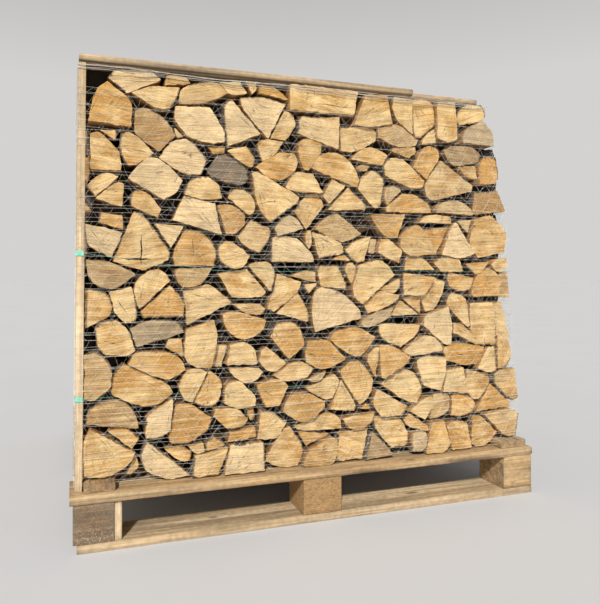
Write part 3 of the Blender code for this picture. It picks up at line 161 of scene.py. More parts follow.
class Recipe:
    """A material that is being mixed, with short names for the nodes that wood needs."""

    def __init__(self, name, roughness):
        self.material = bpy.data.materials.new(name)
        self.material.use_nodes = True
        self.tree = self.material.node_tree
        self.shader = self.tree.nodes["Principled BSDF"]
        self.shader.inputs["Roughness"].default_value = roughness

    def feed(self, socket, value):
        """Join a node's output to a socket, or set the socket to a plain value."""
        if isinstance(value, bpy.types.NodeSocket):
            self.tree.links.new(value, socket)
        else:
            socket.default_value = value

    def fact(self, name, output="Fac"):
        """A fact about the wood that is stored on the mesh."""
        made = self.tree.nodes.new("ShaderNodeAttribute")
        made.attribute_name = name
        return made.outputs[output]

    def vector(self, operation, first, second=(0.0, 0.0, 0.0)):
        """A sum, a product or a measure of vectors."""
        made = self.tree.nodes.new("ShaderNodeVectorMath")
        made.operation = operation
        self.feed(made.inputs[0], first)
        self.feed(made.inputs[1], second)
        return made.outputs["Value" if operation == "LENGTH" else "Vector"]

    def number(self, operation, first, second=0.0):
        """A sum, a product or another function of numbers."""
        made = self.tree.nodes.new("ShaderNodeMath")
        made.operation = operation
        self.feed(made.inputs[0], first)
        self.feed(made.inputs[1], second)
        return made.outputs[0]

    def noise(self, vector, scale, detail=2.0):
        """Soft noise between 0 and 1."""
        made = self.tree.nodes.new("ShaderNodeTexNoise")
        self.feed(made.inputs["Vector"], vector)
        made.inputs["Scale"].default_value = scale
        made.inputs["Detail"].default_value = detail
        return made.outputs["Fac"]

    def stretched(self, place, factors, detail):
        """Noise that is finer or coarser along each axis."""
        return self.noise(self.vector("MULTIPLY", place, factors), 1.0, detail)

    def cells(self, vector, scale, output="Color"):
        """Random cells: a colour for each, or the distance from its middle."""
        made = self.tree.nodes.new("ShaderNodeTexVoronoi")
        self.feed(made.inputs["Vector"], vector)
        made.inputs["Scale"].default_value = scale
        return made.outputs[output]

    def span(self, value, low, high, to_low=0.0, to_high=1.0):
        """Stretch one range of values over another, and stop at its ends."""
        made = self.tree.nodes.new("ShaderNodeMapRange")
        settings = (value, low, high, to_low, to_high)
        for socket, setting in zip(made.inputs, settings):
            self.feed(socket, setting)
        return made.outputs[0]

    def mix(self, share, first, second, blend="MIX"):
        """The first colour, with a share of the second mixed in."""
        made = self.tree.nodes.new("ShaderNodeMix")
        made.data_type = "RGBA"
        made.blend_type = blend
        self.feed(made.inputs["Factor"], share)
        self.feed(made.inputs[6], first)
        self.feed(made.inputs[7], second)
        return made.outputs[2]

    def shade(self, color, value, low, high, to_low, to_high):
        """Darken or lighten a colour by a factor that follows a value from one end to the other."""
        factor = self.span(value, low, high, to_low, to_high)
        grey = self.tree.nodes.new("ShaderNodeCombineColor")
        for socket in grey.inputs:
            self.feed(socket, factor)
        return self.mix(1.0, color, grey.outputs[0], "MULTIPLY")

    def finish(self, color, height, depth):
        """Set the colour, and raise the surface by a height map of a depth in metres."""
        bump = self.tree.nodes.new("ShaderNodeBump")
        bump.inputs["Distance"].default_value = depth
        self.feed(bump.inputs["Height"], height)
        self.feed(self.shader.inputs["Normal"], bump.outputs[0])
        self.feed(self.shader.inputs["Base Color"], color)
        return self.material


print("recipes ready")

# %% [markdown]
# ## The floor
# A floor of one pale colour would do, but real studio floors have a faint mottle. A large plane with
# a little noise in its colour keeps the shadow under the pallet soft and plain.


# %% Lay the floor
def pale_floor():
    """A plain pale floor at the height that the pallet stands on."""
    recipe = Recipe("pale_floor", 0.9)
    place = recipe.tree.nodes.new("ShaderNodeTexCoord").outputs["Object"]
    mottle = recipe.noise(place, 2.0, 3.0)
    color = recipe.mix(mottle, paint(201, 202, 205), paint(195, 196, 199))
    return recipe.finish(color, mottle, 0.0005)


bpy.ops.mesh.primitive_plane_add(size=60.0, location=(0.0, 0.0, 0.0))
floor = bpy.context.object
floor.name = "floor"
floor.data.materials.append(pale_floor())
print("floor", floor.dimensions.x, "m wide")

# %% [markdown]
# ## One mesh from many pieces
# A stack holds hundreds of logs. One object each would be slow to handle, so the logs of a row are
# gathered in one mesh. Each point keeps facts about its own log: where it lies in the grain, how
# orange or how grey the wood is, and how close the bark is. The materials read those facts, so one
# material can dress every log and still make each one look different.

# %% Gather pieces in one mesh
NUMBER_FACTS = ("tone", "grey", "bark", "rim", "check")
VECTOR_FACTS = ("grain", "saw")


def sides_of(loop):
    """Each point of a closed loop with the one after it."""
    return list(zip(loop, loop[1:] + loop[:1]))


class Heap:
    """Points, faces and wood facts of many pieces that become one mesh."""

    def __init__(self):
        self.points = []
        self.faces = []
        self.slots = []
        self.facts = {name: [] for name in NUMBER_FACTS + VECTOR_FACTS}

    def point(self, place, **facts):
        """Add one point with its facts, and return its number."""
        self.points.append(tuple(place))
        for name in NUMBER_FACTS:
            self.facts[name].append(facts.get(name, 0.0))
        for name in VECTOR_FACTS:
            self.facts[name].extend(facts.get(name, (0.0, 0.0, 0.0)))
        return len(self.points) - 1

    def face(self, corners, slot=0, facing=-1):
        """Add one face; on something that faces back (+1) its corners run the other way round."""
        self.faces.append(corners if facing < 0 else corners[::-1])
        self.slots.append(slot)

    def band(self, near, far, slot=0):
        """Add the faces between two rings of points."""
        for (a, b), (c, d) in zip(sides_of(near), sides_of(far)):
            self.face((a, b, d, c), slot)

    def piece(self, name, materials, smooth_angle=None):
        """Make the mesh object, and let it ride on the CAD model."""
        mesh = bpy.data.meshes.new(name)
        mesh.from_pydata(self.points, [], self.faces)
        for material in materials:
            mesh.materials.append(material)
        mesh.polygons.foreach_set("material_index", self.slots)
        for fact in NUMBER_FACTS:
            stored = mesh.attributes.new(fact, "FLOAT", "POINT")
            stored.data.foreach_set("value", self.facts[fact])
        for fact in VECTOR_FACTS:
            stored = mesh.attributes.new(fact, "FLOAT_VECTOR", "POINT")
            stored.data.foreach_set("vector", self.facts[fact])
        if smooth_angle:
            mesh.shade_smooth()
            mesh.set_sharp_from_angle(angle=smooth_angle)
        made = bpy.data.objects.new(name, mesh)
        bpy.context.scene.collection.objects.link(made)
        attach(made, "root")
        triangles = sum(len(face) - 2 for face in self.faces)
        print(f"{name}: {triangles} triangles")
        return made


# %% [markdown]
# ## Reading the stack
# The CAD model already holds every log's place: each row has a raised flat end for each log. Typing
# the outlines in again would invite mistakes, so they are read back from the model. The faces that
# look straight out of the row are collected, and the edges that only one of them uses make the
# outlines.

# %% Read the log ends of a CAD node
END_DEPTH = 0.0265
LOOKS_STRAIGHT = 0.99
STRAIGHT_TURN = 0.01


def corners_of(loop):
    """Each point of a closed loop between the one before it and the one after it."""
    return list(zip(loop[-1:] + loop[:-1], loop, loop[1:] + loop[:1]))


def loops_of(edges):
    """Chain directed edges into closed loops."""
    following = dict(edges)
    loops = []
    while following:
        here = next(iter(following))
        loop = []
        while here in following:
            loop.append(here)
            here = following.pop(here)
        loops.append(loop)
    return loops


def cornered(loop):
    """Drop the points of an outline that lie on a straight stretch."""
    kept = []
    for before, here, after in corners_of(loop):
        arrive, leave = here - before, after - here
        if arrive.length * leave.length > 0 and abs(arrive.angle_signed(leave)) > STRAIGHT_TURN:
            kept.append(here)
    return kept


def area_of(outline):
    """The area inside an outline, above zero if it runs anticlockwise."""
    return sum(a.x * b.y - b.x * a.y for a, b in sides_of(outline)) / 2


def log_ends(node, facing):
    """Outlines of the log ends in a CAD node that face the front (-1) or the back (+1)."""
    mesh = nodes[node].data
    low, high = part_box(node)
    outermost = low.y if facing < 0 else high.y
    edges = set()
    for face in mesh.polygons:
        if face.normal.y * facing < LOOKS_STRAIGHT or abs(face.center.y - outermost) > END_DEPTH:
            continue
        corners = [tuple(round(c, 5) for c in mesh.vertices[i].co) for i in face.vertices]
        edges.update(sides_of(corners))
    border = [(a, b) for a, b in edges if (b, a) not in edges]
    ends = []
    for loop in loops_of(sorted(border)):
        outline = cornered([Vector((x, z)) for x, _, z in loop])
        if area_of(outline) < 0:
            outline.reverse()
        ends.append((outline, loop[0][1]))
    return ends


front_ends = log_ends("logs_front_row", -1)
print("log ends in the front row:", len(front_ends))

# %% [markdown]
# ## Outlines that look split and sawn
# A log is split along its grain, so two sides meet in a sharp corner near the heart, and the far side
# keeps the round of the trunk. The CAD outline has straight sides only. Here a curve runs through
# its blunt corners and leaves the sharp ones alone, and a slow noise makes the split sides uneven.

# %% Turn a cornered outline into a natural one
BLUNT_TURN = math.radians(58)
DEEPEST_BULGE = 0.0021
SNUG = 0.0008
UNEVEN = 0.0020
UNEVEN_SCALE = 75
RAGGED = 0.0016
RAGGED_SCALE = 260


def waver(x, y, z):
    """Smooth noise between about -1 and 1."""
    return noise.noise(Vector((x, y, z)))


def corner_directions(outline):
    """The directions in which a curve arrives at each corner and leaves it."""
    found = []
    for before, here, after in corners_of(outline):
        arrive = (here - before).normalized()
        leave = (after - here).normalized()
        if abs(arrive.angle_signed(leave)) < BLUNT_TURN:
            arrive = leave = (arrive + leave).normalized()
        found.append((arrive, leave))
    return found


def flowing(outline, spacing, seed):
    """Points along a natural outline that runs through the corners of a plain one."""
    directions = corner_directions(outline)
    points = []
    for (start, stop), ((_, leave), (arrive, _)) in zip(sides_of(outline), sides_of(directions)):
        run = stop - start
        across = Vector((run.y, -run.x)).normalized()
        bend = max(abs(leave @ across), 1e-6) + max(abs(arrive @ across), 1e-6)
        pull = min(0.9 * run.length, 8 * DEEPEST_BULGE / bend)
        count = max(1, round(run.length / spacing))
        for step in range(count):
            t = step / count
            place = (2 * t**3 - 3 * t**2 + 1) * start + (3 * t**2 - 2 * t**3) * stop
            place += pull * ((t**3 - 2 * t**2 + t) * leave + (t**3 - t**2) * arrive)
            uneven = UNEVEN * waver(place.x * UNEVEN_SCALE, place.y * UNEVEN_SCALE, seed)
            ragged = RAGGED * waver(place.x * RAGGED_SCALE, place.y * RAGGED_SCALE, seed)
            points.append(place + across * (SNUG + uneven + ragged))
    return points


sample = flowing(front_ends[0][0], 0.007, 1.0)
print("one outline has", len(front_ends[0][0]), "corners and becomes", len(sample), "points")

# %% [markdown]
# ## Drying checks
# As a log dries, its end opens in cracks that point at the heart. A dark line in the material would
# look painted from the side, so each check is cut into the end: two lips on the surface and a bottom
# line several millimetres below them, all built into the triangles of the end.

# %% Shape a drying check
CHECK_STATIONS = ((0.25, 0.8), (0.5, 1.0), (0.75, 0.7))
CHECK_WANDER = 0.03
ON_LINE = 3e-5
PAST_END = 0.001


class Check:
    """One crack in a log's end, from a start to a stop in the plane of the end."""

    def __init__(self, start, stop, half_width, depth, dice):
        run = stop - start
        across = Vector((-run.y, run.x)).normalized()
        self.depth = depth
        self.line = [start]
        self.lips = []
        for share, width in CHECK_STATIONS:
            middle = start + run * share + across * dice.uniform(-CHECK_WANDER, CHECK_WANDER) * run.length
            self.line.append(middle)
            self.lips.append((middle + across * half_width * width, middle - across * half_width * width))
        self.line.append(stop)

    def outline_points(self):
        """Its points: the bottom line first, then the left lip and the right lip."""
        return self.line + [left for left, _ in self.lips] + [right for _, right in self.lips]

    def edges(self, first):
        """The edges between its points, when its first point has a given number."""
        stations = len(self.lips)
        last = first + stations + 1
        bottom = list(range(first, last + 1))
        left = [first] + list(range(last + 1, last + 1 + stations)) + [last]
        right = [first] + list(range(last + 1 + stations, last + 1 + 2 * stations)) + [last]
        return [pair for run in (bottom, left, right) for pair in zip(run, run[1:])]

    def sunk(self, place):
        """How far a point of the end is sunk by this check, as a share of its depth."""
        for a, b in zip(self.line, self.line[1:]):
            run = b - a
            share = (place - a).dot(run) / run.length_squared
            if -PAST_END <= share <= 1 + PAST_END and (a + run * share - place).length < ON_LINE:
                whole = (place - self.line[0]).length / (self.line[-1] - self.line[0]).length
                return math.sqrt(max(0.0, 4 * whole * (1 - whole)))
        return 0.0


print("stations along a check:", len(CHECK_STATIONS))

# %% [markdown]
# ## The build of a log
# A log starts as rings of points along its length. The first ring is the edge of the sawn end, drawn
# in by half a millimetre as a saw leaves it. The end itself is filled with triangles that meet the
# ring, the points inside it and the checks, so the whole log is one closed skin. Every point also
# gets its place in the grain, counted from the heart of the trunk.

# %% Work out what kind of log an outline is
SHARP_TURN = math.radians(72)
HEART_WANDER = 0.012
BARK_AWAY = 0.62
BARK_FACES_OUT = 0.72


def inside(place, outline):
    """Whether a point is inside an outline."""
    crossings = 0
    for a, b in sides_of(outline):
        if (a.y > place.y) != (b.y > place.y):
            crossings += place.x < a.x + (b.x - a.x) * (place.y - a.y) / (b.y - a.y)
    return crossings % 2 == 1


def middle_of(outline):
    """The average of an outline's points."""
    return sum(outline, Vector((0.0, 0.0))) / len(outline)


def scatter(dice, across, up):
    """A random small step across and up."""
    return Vector((dice.uniform(-across, across), dice.uniform(-up, up)))


def heart_of(outline, dice):
    """Where the heart of the trunk was: near the sharpest corner, or inside a round log."""
    turns = []
    for before, here, after in corners_of(outline):
        turns.append(abs((here - before).angle_signed(after - here)))
    middle = middle_of(outline)
    sharpest = max(range(len(outline)), key=lambda index: turns[index])
    if turns[sharpest] > SHARP_TURN:
        return outline[sharpest] + (outline[sharpest] - middle) * dice.uniform(-0.1, 0.15)
    return middle + scatter(dice, HEART_WANDER, HEART_WANDER)


def outward_normals(ring):
    """The outward direction at each point of a ring."""
    found = []
    for before, _, after in corners_of(ring):
        run = after - before
        found.append(Vector((run.y, -run.x)).normalized())
    return found


def bark_side(ring, normals, heart):
    """Mark the points of a ring that lie on the round of the trunk."""
    reach = max((place - heart).length for place in ring)
    marks = []
    for place, normal in zip(ring, normals):
        away = place - heart
        turned_out = away.normalized().dot(normal) > BARK_FACES_OUT
        marks.append(away.length > BARK_AWAY * reach and turned_out)
    return marks


print("corners sharper than", round(math.degrees(SHARP_TURN)), "degrees of turn are hearts")

# %% Say how finely logs are built
TILT = 0.05
TILT_FADE = 0.03
END_INSET = 0.0006
END_ROUGH = 0.0005
# How far the painted shade reaches: behind the front ends of the set-back logs, and into the stack along the
# sides of hidden logs.
END_SHADE_REACH = 0.08
DEPTH_SHADE_REACH = 0.040
TORN_REACH = 0.05
BOW = (0.003, 0.002)
TAPER = (-0.02, 0.035)
MOST_GRAIN_SHIFT = 40.0
NO_BARK_NEAR = 0.1
# Each set below also says how much painted shade the sides of its logs get deep in the stack; logs on the rim
# get none.
FINE = {
    "rim": 0.0060,
    "inner": 0.0130,
    "wave": 0.0016,
    "painted_depth_shade": 0.80,
    "depths": (0.0, 0.0014, 0.011, 0.04, 0.13, 0.22),
}
SHOWN = {
    "rim": 0.0062,
    "inner": 0.0130,
    "wave": 0.0042,
    "painted_depth_shade": 0.0,
    "depths": (0.0, 0.0014, 0.010, 0.035, 0.07, 0.105, 0.14, 0.175, 0.21, 0.245, 0.28),
}
PLAIN = {"rim": 0.0150, "inner": 0.0400, "wave": 0.0016, "painted_depth_shade": 0.5, "depths": (0.0, 0.002, 0.06, 0.18)}
print("rings along a finely made log:", len(FINE["depths"]) + 1)

# %% Scatter points inside a log's end
STRAYS_BY = 0.3
CLEAR_OF_RING = 0.45


def inner_points(ring, spacing, dice):
    """Scattered points inside a ring, none of them close to it; shares are of their spacing."""
    across = [place.x for place in ring]
    up = [place.y for place in ring]
    border = np.array([tuple(place) for place in ring])
    found = []
    x = min(across) + spacing / 2
    while x < max(across):
        y = min(up) + spacing / 2
        while y < max(up):
            step_x = dice.uniform(-STRAYS_BY, STRAYS_BY) * spacing
            step_y = dice.uniform(-STRAYS_BY, STRAYS_BY) * spacing
            place = Vector((x + step_x, y + step_y))
            gap = np.hypot(border[:, 0] - place.x, border[:, 1] - place.y).min()
            if gap > CLEAR_OF_RING * spacing and inside(place, ring):
                found.append(place)
            y += spacing
        x += spacing
    return found


scattered = inner_points(sample, FINE["inner"], random.Random(1))
print("points scattered inside that outline:", len(scattered))

# %% Build one log
class Log:
    """A log that is being built; its finer end faces the front (-1) or the back (+1)."""

    def __init__(self, heap, outline, end_y, facing, length, wood, detail):
        dice = random.Random(wood["seed"])
        self.heap, self.wood, self.detail, self.dice = heap, wood, detail, dice
        self.end_y, self.facing, self.length = end_y, facing, length
        self.ring = flowing(outline, detail["rim"], wood["seed"] % 97 * 1.3)
        self.normals = outward_normals(self.ring)
        self.middle = middle_of(self.ring)
        self.heart = heart_of(outline, dice)
        self.barked = [False] * len(self.ring)
        if wood["bark"]:
            self.barked = bark_side(self.ring, self.normals, self.heart)
        self.bark = np.array([tuple(place) for place, mark in zip(self.ring, self.barked) if mark])
        self.tilt = scatter(dice, TILT, TILT)
        self.shift = dice.uniform(0.0, MOST_GRAIN_SHIFT)
        self.bow = scatter(dice, *BOW)
        self.taper = dice.uniform(*TAPER)

    def add_point(self, flat, depth, bark=0.0, check=0.0):
        """Add a point at a depth below the finer end, with its facts, and return its number."""
        lean = self.tilt.dot(flat - self.middle) * max(0.0, 1 - depth / TILT_FADE)
        y = self.end_y - self.facing * (depth + lean)
        away = flat - self.heart
        rim = NO_BARK_NEAR
        if len(self.bark):
            rim = float(np.hypot(self.bark[:, 0] - flat.x, self.bark[:, 1] - flat.y).min())
        cosine, sine = math.cos(self.wood["saw"]), math.sin(self.wood["saw"])
        # Painted shade, carried in the check fact together with the cracks: on the set-back logs near their
        # front ends, and along the sides of logs deep inside the stack.
        dirt_and_shade = self.wood["dirt_and_shade"] * (1 - depth / END_SHADE_REACH)
        painted_depth_shade = self.detail["painted_depth_shade"] * min(1.0, depth / DEPTH_SHADE_REACH)
        return self.heap.point(
            (flat.x, y, flat.y),
            grain=(away.x, y + self.shift, away.y),
            saw=(flat.x * cosine + flat.y * sine, self.shift, flat.y * cosine - flat.x * sine),
            tone=self.wood["tone"],
            grey=self.wood["grey"],
            bark=bark,
            rim=rim,
            check=max(check, dirt_and_shade, painted_depth_shade),
        )

    def add_ring(self, depth):
        """Add the ring at a depth: drawn in at the ends, torn, bent and tapered between them."""
        inset = END_INSET if depth in (0.0, self.length) else 0.0
        bent = self.bow * math.sin(math.pi * depth / self.length)
        numbers = []
        for place, normal, mark in zip(self.ring, self.normals, self.barked):
            torn = waver(place.x * 60, depth * 8 + self.shift, place.y * 60)
            torn += 0.5 * waver(place.x * 190, depth * 14 + self.shift, place.y * 190)
            wave = self.detail["wave"] * min(1.0, depth / TORN_REACH) * torn
            moved = place + normal * (wave - inset) + bent
            moved += (self.middle - place) * self.taper * depth / self.length
            numbers.append(self.add_point(moved, depth, bark=float(mark)))
        return numbers

    def add_skin(self):
        """Add the sides and the plainer end, and return the ring of the finer end."""
        depths = [depth for depth in self.detail["depths"] if depth < self.length - 0.01]
        rings = [self.add_ring(depth) for depth in depths + [self.length]]
        for near, far in zip(rings, rings[1:]):
            for (a, b), (c, d) in zip(sides_of(near), sides_of(far)):
                self.heap.face((a, c, d, b), 1, self.facing)
        tail = self.add_point(self.middle, self.length)
        for a, b in sides_of(rings[-1]):
            self.heap.face((a, tail, b), 0, self.facing)
        return rings[0]

    def add_end(self, rim_ring):
        """Fill the finer end with triangles that meet its ring, the checks and points inside it."""
        edge = [place - normal * END_INSET for place, normal in zip(self.ring, self.normals)]
        checks = [Check(*check, self.dice) for check in self.wood["checks"]]
        flat_points = edge + inner_points(edge, self.detail["inner"], self.dice)
        lines = []
        for check in checks:
            lines += check.edges(len(flat_points))
            flat_points += check.outline_points()
        filled = delaunay_2d_cdt(flat_points, lines, [list(range(len(edge)))], 1, 1e-6)
        numbers = []
        for place, sources in zip(filled[0], filled[3]):
            on_edge = [index for index in sources if index < len(edge)]
            numbers.append(rim_ring[on_edge[0]] if on_edge else self.add_end_point(place, checks))
        for corners in filled[2]:
            if area_of([filled[0][index] for index in corners]) < 0:
                corners = corners[::-1]
            self.heap.face(tuple(numbers[index] for index in corners), 0, self.facing)

    def add_end_point(self, place, checks):
        """Add a point inside the finer end, sunk where a check runs."""
        sunk, deepest = max(((check.sunk(place), check.depth) for check in checks), default=(0.0, 0.0))
        rough = END_ROUGH * waver(place.x * 160, place.y * 160, self.shift)
        return self.add_point(place, rough + sunk * deepest, check=sunk)


def add_log(heap, outline, end_y, facing, length, wood, detail):
    """Add one whole log."""
    log = Log(heap, outline, end_y, facing, length, wood, detail)
    log.add_end(log.add_skin())


print("the end of a log is tilted by up to", round(math.degrees(math.atan(TILT)), 1), "degrees each way")

# %% [markdown]
# ## The sawn end
# Most of the stack's face is end grain. On a real log it shows faint growth rings round the heart,
# rays and hairline cracks that point at it, straight scratches from the saw, and a tint between
# cream and orange that changes from log to log. The recipe mixes each of these from the facts on
# the mesh. Photographs wrapped on the logs could look as real, but they would repeat and would
# bring someone else's picture with them.

# %% Mix the sawn end
CREAM = paint(226, 193, 136)
ORANGE = paint(199, 150, 78)
ASH_WHITE = paint(226, 199, 156)
WEATHERED = paint(120, 104, 84)
BARK_DARK = paint(66, 50, 37)
BARK_LIGHT = paint(122, 104, 84)
# The dark of the cracks, also mixed in as painted shade deep in the stack and in the gaps.
CRACK_AND_SHADE = paint(34, 24, 15)


def end_tint(recipe, grain, blotch, bands):
    """A tint between cream and orange that differs from log to log and in patches of each end."""
    patches = recipe.noise(grain, 11.0, 3.0)
    tint = recipe.number("ADD", recipe.fact("tone"), recipe.span(blotch, 0.3, 0.7, -0.40, 0.40))
    tint = recipe.number("ADD", tint, recipe.span(patches, 0.35, 0.65, -0.35, 0.35))
    tint = recipe.number("ADD", tint, recipe.span(bands, 0.3, 0.7, -0.35, 0.35))
    color = recipe.mix(recipe.span(tint, 0.0, 1.0), CREAM, ORANGE)
    color = recipe.mix(recipe.span(recipe.fact("tone"), 0.0, 0.2, 0.55, 0.0), color, ASH_WHITE)
    color = recipe.shade(color, bands, 0.25, 0.75, 1.12, 0.82)
    color = recipe.shade(color, blotch, 0.3, 0.7, 1.10, 0.86)
    return recipe.shade(color, patches, 0.35, 0.65, 0.92, 1.06)


def rings_and_rays(recipe, grain, color):
    """Faint growth rings round the heart, with rays and hairline cracks that point at it."""
    across = recipe.vector("MULTIPLY", grain, (1.0, 0.0, 1.0))
    radius = recipe.vector("LENGTH", across)
    around = recipe.vector("NORMALIZE", across)
    wander = recipe.number("MULTIPLY", recipe.noise(grain, 60.0), 5.0)
    ring_place = recipe.number("ADD", recipe.number("MULTIPLY", radius, 1700.0), wander)
    color = recipe.shade(color, recipe.number("SINE", ring_place), -1.0, 1.0, 0.90, 1.04)
    ray_place = recipe.vector("ADD", around, recipe.vector("MULTIPLY", grain, (2.0, 1.0, 2.0)))
    color = recipe.shade(color, recipe.noise(ray_place, 24.0, 3.0), 0.3, 0.7, 0.84, 1.10)
    hairline = recipe.number("ABSOLUTE", recipe.number("SUBTRACT", recipe.noise(ray_place, 7.0, 1.0), 0.5))
    open_here = recipe.span(recipe.noise(grain, 42.0), 0.48, 0.56)
    hairline = recipe.number("MULTIPLY", recipe.span(hairline, 0.0, 0.016, 0.8, 0.0), open_here)
    return recipe.mix(hairline, color, CRACK_AND_SHADE)


def sawn_end():
    """End grain with the marks of the saw, grey where it is old, dark where bark or a check is, and darkened
    by painted shade on the front ends of the set-back logs.
    """
    recipe = Recipe("sawn_log_end", 0.84)
    grain = recipe.fact("grain", "Vector")
    saw = recipe.fact("saw", "Vector")
    blotch = recipe.noise(grain, 24.0, 4.0)
    bands = recipe.stretched(saw, (9.0, 1.0, 105.0), 3.0)
    scratches = recipe.stretched(saw, (20.0, 1.0, 360.0), 2.0)
    speckle = recipe.noise(grain, 420.0, 2.0)
    color = end_tint(recipe, grain, blotch, bands)
    color = recipe.shade(color, scratches, 0.3, 0.7, 0.86, 1.10)
    color = recipe.shade(color, speckle, 0.3, 0.7, 0.84, 1.12)
    color = rings_and_rays(recipe, grain, color)

    old = recipe.number("MULTIPLY", recipe.fact("grey"), recipe.span(blotch, 0.2, 0.6, 0.7, 1.2))
    weathered = recipe.shade(WEATHERED, scratches, 0.3, 0.7, 0.72, 1.25)
    color = recipe.mix(recipe.span(old, 0.0, 1.0), color, weathered)
    bark = recipe.number("ADD", recipe.fact("rim"), recipe.span(speckle, 0.3, 0.7, -0.001, 0.001))
    color = recipe.mix(recipe.span(bark, 0.0012, 0.0045, 0.9, 0.0), color, BARK_DARK)
    # The check fact darkens the cracks, and also paints shade on the front ends of the set-back logs.
    color = recipe.mix(recipe.span(recipe.fact("check"), 0.0, 0.35), color, CRACK_AND_SHADE)
    coarse = recipe.number("ADD", bands, recipe.number("MULTIPLY", scratches, 0.8))
    height = recipe.number("ADD", coarse, recipe.number("MULTIPLY", speckle, 0.5))
    return recipe.finish(color, height, 0.0022)


SAWN_END = sawn_end()
print("mixed", SAWN_END.name)

# %% [markdown]
# ## The split side and the bark
# Splitting tears the wood along its fibres, so the sides show long streaks that run with the log.
# The round of the trunk is bark instead: darker, greyer and rougher. One material does both, and a
# fact on the mesh says which points are bark. Another carries painted shade, so that the sides get
# dark deep in the stack.

# %% Mix the split side
SPLIT_LIGHT = paint(194, 150, 92)
SPLIT_DARK = paint(134, 88, 44)
BARK_PALE = paint(134, 128, 116)


def split_side():
    """Torn wood with long streaks, or bark where the mesh says so, darkened by painted shade deep in the
    stack, on the sticks and on the set-back logs.
    """
    recipe = Recipe("split_log_side", 0.9)
    grain = recipe.fact("grain", "Vector")
    fibres = recipe.stretched(grain, (240.0, 7.0, 240.0), 4.0)
    splinters = recipe.stretched(grain, (70.0, 4.0, 70.0), 3.0)
    blotch = recipe.noise(grain, 14.0, 3.0)
    tint = recipe.number("MULTIPLY", recipe.fact("tone"), 0.5)
    tint = recipe.number("ADD", tint, recipe.span(blotch, 0.3, 0.7, -0.2, 0.4))
    wood = recipe.mix(recipe.span(tint, 0.0, 1.0), SPLIT_LIGHT, SPLIT_DARK)
    wood = recipe.shade(wood, fibres, 0.25, 0.75, 0.70, 1.14)
    wood = recipe.shade(wood, splinters, 0.3, 0.7, 0.78, 1.10)
    wood = recipe.mix(recipe.number("MULTIPLY", recipe.fact("grey"), 0.8), wood, WEATHERED)

    plates = recipe.stretched(grain, (130.0, 20.0, 130.0), 4.0)
    patches = recipe.noise(grain, 26.0, 2.0)
    bark = recipe.mix(recipe.span(plates, 0.3, 0.7), BARK_DARK, BARK_LIGHT)
    bark = recipe.mix(recipe.span(patches, 0.45, 0.75, 0.0, 0.5), bark, BARK_PALE)
    barked = recipe.span(recipe.fact("bark"), 0.3, 0.7)
    # On the sides the check fact is painted shade: deep in the stack, on the sticks and on the set-back logs.
    color = recipe.mix(recipe.fact("check"), recipe.mix(barked, wood, bark), CRACK_AND_SHADE)
    rough_bark = recipe.number("MULTIPLY", barked, recipe.number("MULTIPLY", plates, 2.2))
    height = recipe.number("ADD", recipe.number("ADD", fibres, splinters), rough_bark)
    return recipe.finish(color, height, 0.0026)


SPLIT_SIDE = split_side()
LOG_MATERIALS = [SAWN_END, SPLIT_SIDE]
LOG_SMOOTH = math.radians(38)
print("mixed", SPLIT_SIDE.name)

# %% [markdown]
# ## Choosing each log's looks
# Most logs get a tint, bark and checks by seeded chance, which keeps the stack the same each time.
# The ones that catch the eye in the photograph are named one by one: the grey ones that lay outdoors
# longest, the pale and the orange ones, and the log with a cross of cracks. A place is given in
# centimetres as it was measured on the front, and is then moved to where the log ends lie.

# %% Give the logs their looks
MEASURED_SPREAD = 1.0175
MEASURED_SHIFT_CM = (0.14, 0.09)
GREY_LOGS = {
    (34.5, 70.3): 1.0, (18.5, 33.3): 0.62, (73.2, 2.9): 0.5, (99.0, 77.5): 0.5, (7.5, 46.3): 0.45,
    (85.3, 3.7): 0.3, (49.0, 57.6): 0.15, (103.5, 83.5): 0.4, (106.5, 65.0): 0.35, (38.0, 25.0): 0.25,
    (8.0, 53.5): 0.2, (5.0, 24.0): 0.25, (83.0, 72.0): 0.3, (95.0, 69.0): 0.2,
}
PALE_LOGS = (
    (19.5, 4.5), (38.8, 3.6), (19.0, 14.0), (7.0, 53.5), (49.0, 57.6), (85.3, 3.7), (28.0, 79.5),
    (38.0, 81.0), (44.0, 83.5), (12.0, 89.0), (27.0, 59.5), (18.0, 67.5), (24.0, 72.0), (62.0, 37.0),
    (32.5, 51.0), (96.5, 54.5), (102.0, 82.0), (50.0, 52.0),
)
ORANGE_LOGS = (
    (8.5, 15.5), (25.5, 12.5), (18.5, 26.0), (53.0, 14.5), (45.3, 18.5), (20.0, 39.5), (8.5, 83.0),
    (8.5, 57.6), (55.5, 7.0), (108.0, 12.5), (105.5, 4.3), (97.5, 4.0), (106.0, 73.5), (98.5, 11.5),
    (18.0, 78.5), (76.0, 58.5), (107.0, 44.0), (83.0, 35.0), (106.0, 66.0), (88.0, 34.0), (60.0, 27.0),
)
MARKED_CHECKS = {
    (15.0, 53.0): (((15.0, 55.2), (15.0, 47.9), 0.0021), ((10.6, 49.7), (17.6, 49.6), 0.0030)),
    (58.5, 88.0): (((55.9, 87.1), (66.6, 87.2), 0.0010), ((55.8, 90.9), (55.9, 88.8), 0.0010)),
    (82.5, 50.5): (((82.6, 51.6), (82.4, 49.0), 0.0009),),
    (104.6, 44.0): (((104.9, 43.0), (104.2, 40.8), 0.0010),),
    (27.0, 51.0): (((26.3, 55.0), (26.8, 49.2), 0.0007),),
    (45.3, 64.5): (((41.5, 62.6), (47.2, 63.7), 0.0009),),
    (44.0, 83.0): (((41.5, 86.4), (45.3, 84.9), 0.0007), ((42.0, 82.3), (45.6, 83.3), 0.0006)),
}
NEAR = 0.026
MARKED_DEPTH = 0.014
SHORTEST_CHECK = 0.012
BARK_SHARE = 0.5
GREY_SHARE = 0.16
